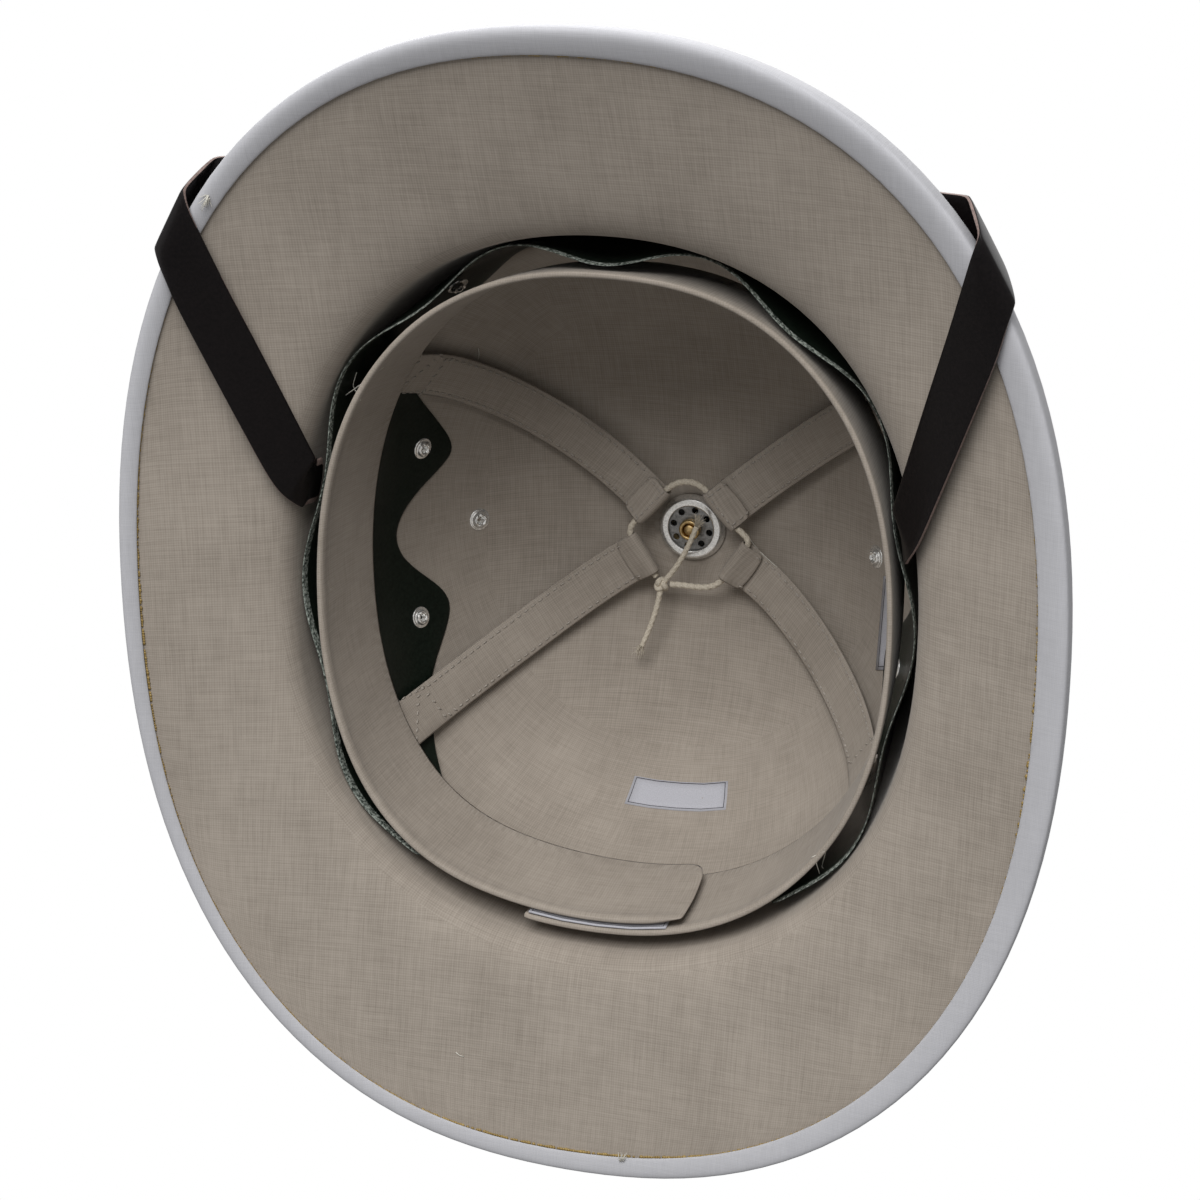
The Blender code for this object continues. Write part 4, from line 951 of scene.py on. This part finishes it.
def rung_middle(rung):
    """Middle between the two ends of a rung of a strap's mesh."""
    return (rung[0] + rung[1]) / 2.0


strap_thread = speckled("drill_thread", (0.26, 0.23, 0.20), (0.46, 0.42, 0.37), 2600.0, 0.85)
strap_stitches = bmesh.new()
straps = []
for node in ("crown_strap_front_left", "crown_strap_front_right", "crown_strap_rear_left",
             "crown_strap_rear_right"):
    mesh = merged_copy(node)
    mesh.normal_update()
    rungs = dict.fromkeys(edge for face in mesh.faces if face.normal.z < 0.0 for edge in face.edges
                          if abs(edge.calc_length() - STRAP_WIDTH) < STRAP_WIDTH * 0.03)
    rungs = [tuple(vert.co.copy() for vert in edge.verts) for edge in rungs]
    rungs.sort(key=lambda rung: -reach(rung_middle(rung) - AXIS))
    ladder = rungs[:1]
    for one, other in rungs[1:]:
        if (one - ladder[-1][0]).length > (other - ladder[-1][0]).length:
            one, other = other, one
        ladder.append((one, other))
    near_end = reach(rung_middle(ladder[-1]) - AXIS)
    ladder = [rung for rung in ladder if reach(rung_middle(rung) - AXIS) > near_end + 0.002]
    way = (rung_middle(ladder[-1]) - rung_middle(ladder[0])).normalized()
    lay_weave(mesh, along=way)
    strap = rounded(add_piece(node + "_cloth", mesh, [drill]), 2)
    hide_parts(node)
    straps.append(strap)
    surface = finished_surface(strap)
    for share in (SEAM_INSET, 1.0 - SEAM_INSET):
        edge_row = [one.lerp(other, share) for one, other in ladder]
        stitch_row(strap_stitches, surface, edge_row, STRAP_STITCH)
    one, other = ladder[-2]
    hem_row = [one.lerp(other, tenth / 10.0) for tenth in range(1, 10)]
    stitch_row(strap_stitches, surface, hem_row, HEM_STITCH)
add_piece("crown_strap_stitches", strap_stitches, [strap_thread])

# ------------ chin strap
# Black polished leather with paler cut edges. Both ends are fixed inside the crown, and it
# folds over the rim on both sides and rests on the front of the hat band.
LEATHER_THICKNESS = 0.0016
leather_edge = speckled("cut_leather_edge", (0.10, 0.070, 0.062), (0.24, 0.17, 0.15), 1200.0, 0.7)
mesh = merged_copy("chin_strap")
for face in mesh.faces:
    lengths = [edge.calc_length() for edge in face.edges]
    middle = face.calc_center_median()
    on_crown = middle.z > 0.022 and middle.y < -0.1
    if min(lengths) < LEATHER_THICKNESS * 1.15 and (on_crown or max(lengths) < 0.014):
        face.material_index = 1
long_edges = [edge for edge in mesh.edges if len(edge.link_faces) == 2
              and edge.calc_length() > LEATHER_THICKNESS * 1.5
              and edge.calc_face_angle() > math.radians(60.0)
              and min(len(across_edges(face, LEATHER_THICKNESS)) for face in edge.link_faces) == 0]
bmesh.ops.bevel(mesh, geom=long_edges, offset=0.0003, segments=1, affect="EDGES", profile=0.5)
lay_weave(mesh)
chin = rounded(add_piece("chin_strap_leather", mesh, [black_leather, leather_edge]), 2)
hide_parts("chin_strap")

# ------------ labels
# Cloth patches with a thin printed border, sewn down: one on the crown lining at the rear,
# one in the lap of the headband, and a narrow one above the headband at the right side.


LABEL_INSET = 0.0009        # from the label's edge to its printed line
LABEL_LINE = 0.00013        # half the line's width


def bordered_label(name, width, height):
    """Pale label cloth with a thin dark frame, on a weave map that starts at one corner."""
    made, tree, shader = shaded(name, 0.75)
    new, link = tree.nodes.new, tree.links.new
    where = new("ShaderNodeUVMap")
    where.uv_map = "weave"
    parts = new("ShaderNodeSeparateXYZ")
    link(where.outputs["UV"], parts.inputs[0])
    margins = []
    for source, size in ((parts.outputs["X"], width), (parts.outputs["Y"], height)):
        off = maths(tree, "ABSOLUTE", maths(tree, "SUBTRACT", source, size / 2.0))
        margins.append(maths(tree, "SUBTRACT", size / 2.0, off))
    drawn = maths(tree, "COMPARE", maths(tree, "MINIMUM", *margins), LABEL_INSET, LABEL_LINE)
    fibres = noise_of(tree, where.outputs["UV"], 2500.0, detail=4.0)
    ink = new("ShaderNodeMix")
    ink.data_type = "RGBA"
    ink.inputs["B"].default_value = (0.05, 0.05, 0.06, 1.0)
    link(drawn, ink.inputs["Factor"])
    link(tinted(tree, fibres, (0.38, 0.38, 0.415), (0.48, 0.48, 0.52), (0.3, 0.7)), ink.inputs["A"])
    link(ink.outputs["Result"], shader.inputs["Base Color"])
    bumped(tree, shader, fibres, 0.4, 0.00006)
    return made


def lay_label(mesh, width, height):
    """Weave map in metres over a patch that lies round the inside of the helmet."""
    layer = mesh.loops.layers.uv.new("weave")
    angles = {vert: math.atan2(vert.co.y - AXIS.y, vert.co.x) % (2.0 * math.pi) for vert in mesh.verts}
    rises = {vert: vert.co.z + 0.06 * vert.co.y for vert in mesh.verts}
    low_angle, high_angle = min(angles.values()), max(angles.values())
    low_rise, high_rise = min(rises.values()), max(rises.values())
    for face in mesh.faces:
        for loop in face.loops:
            loop[layer].uv = ((angles[loop.vert] - low_angle) / (high_angle - low_angle) * width,
                              (rises[loop.vert] - low_rise) / (high_rise - low_rise) * height)


for node, width, height in (("crown_label", 0.0345, 0.0105), ("headband_label", 0.0440, 0.0090)):
    mesh = merged_copy(node)
    lay_label(mesh, width, height)
    finish = bordered_label(node + "_print", width, height)
    patch = rounded(add_piece(node + "_cloth", mesh, [finish]), 1)
    patch.modifiers["smooth"].subdivision_type = "SIMPLE"
    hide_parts(node)



def sight(across, down):
    """Direction from the lens through a point of the picture."""
    way = Vector((across - photo_width / 2.0, down - photo_width / 2.0, photo_focus))
    return photo_turn.transposed() @ way.normalized()


SIDE_LABEL = (0.0270, 0.0056)
SIDE_ROWS = 10
SIDE_COLUMNS = 3
SIDE_SEEN = (885.0, 576.0)  # the label's upper corner in the picture
SIDE_RUN_SEEN = (-8.0, 94.0)
SIDE_STEP_SEEN = 5.0
side_mesh = bmesh.new()
side_layer = side_mesh.loops.layers.uv.new("weave")
side_verts = bmesh.ops.create_grid(side_mesh, x_segments=SIDE_COLUMNS, y_segments=SIDE_ROWS,
                                   size=1.0)["verts"]
for index, vert in enumerate(side_verts):
    row, column = divmod(index, SIDE_COLUMNS + 1)
    share = row / SIDE_ROWS
    way = sight(SIDE_SEEN[0] + SIDE_RUN_SEEN[0] * share + SIDE_STEP_SEEN * column,
                SIDE_SEEN[1] + SIDE_RUN_SEEN[1] * share)
    place, normal, _, _ = lining_surface.ray_cast(lens_place, way)
    inward = normal if normal.dot(AXIS - place) > 0.0 else -normal
    vert.co = place + inward * 0.0004
for face in side_mesh.faces:
    for loop in face.loops:
        row, column = divmod(side_verts.index(loop.vert), SIDE_COLUMNS + 1)
        loop[side_layer].uv = (SIDE_LABEL[0] * row / SIDE_ROWS, SIDE_LABEL[1] * column / SIDE_COLUMNS)
finish = bordered_label("side_label_print", *SIDE_LABEL)
thicken(add_piece("side_label_cloth", side_mesh, [finish]), 0.0003, 0.0)

# ------------ loose threads
# Ends of sewing thread that were left on the headband, the strip and the lining, and the
# frayed end of the binding tape beside the chin strap.
thread = speckled("loose_thread", (0.50, 0.48, 0.42), (0.75, 0.73, 0.66), 2500.0, 0.9)
THREAD_RADIUS = 0.00016
THREADS_SEEN = (            # corners of each thread in the picture
    ((345, 395), (362, 384), (384, 366)), ((356, 372), (352, 385), (360, 400)),
    ((478, 348), (479, 355), (477, 361)), ((748, 536), (760, 552), (779, 569)),
    ((812, 858), (826, 850), (822, 868), (834, 874)), ((822, 880), (816, 862), (830, 848)),
    ((456, 1052), (461, 1057), (465, 1056)))
FRAYS_SEEN = (              # place in the picture, direction, length and seed of each frayed end
    (208, 196, (-0.5, 0.8, 0.0), 0.0045, 31), (622, 1160, (0.2, -0.9, 0.2), 0.0022, 37))
grounds = [finished_surface(made) for made in (headband, strip, lining, binding, chin, *straps)]


def seen_at(across, down):
    """Place just off the helmet's surface that shows at a point of the picture."""
    way = sight(across, down)
    hits = [hit for hit in (ground.ray_cast(lens_place, way) for ground in grounds) if hit[0]]
    place, normal, _, _ = min(hits, key=lambda hit: hit[3])
    if normal.dot(way) > 0.0:
        normal = -normal
    return place + normal * THREAD_RADIUS * 1.5


threads = bmesh.new()
for corners in THREADS_SEEN:
    line = [seen_at(*corner) for corner in corners]
    sweep(threads, softened(even(line, 0.0008), 3), THREAD_RADIUS, sides=5, tip=0.7)
for across, down, way, spread, seed in FRAYS_SEEN:
    root = seen_at(across, down) - Vector((0.0, 0.0, 0.0002))
    wisps(threads, root, Vector(way).normalized(), 22, spread, seed, radius=0.00013)
add_piece("loose_threads", threads, [thread])
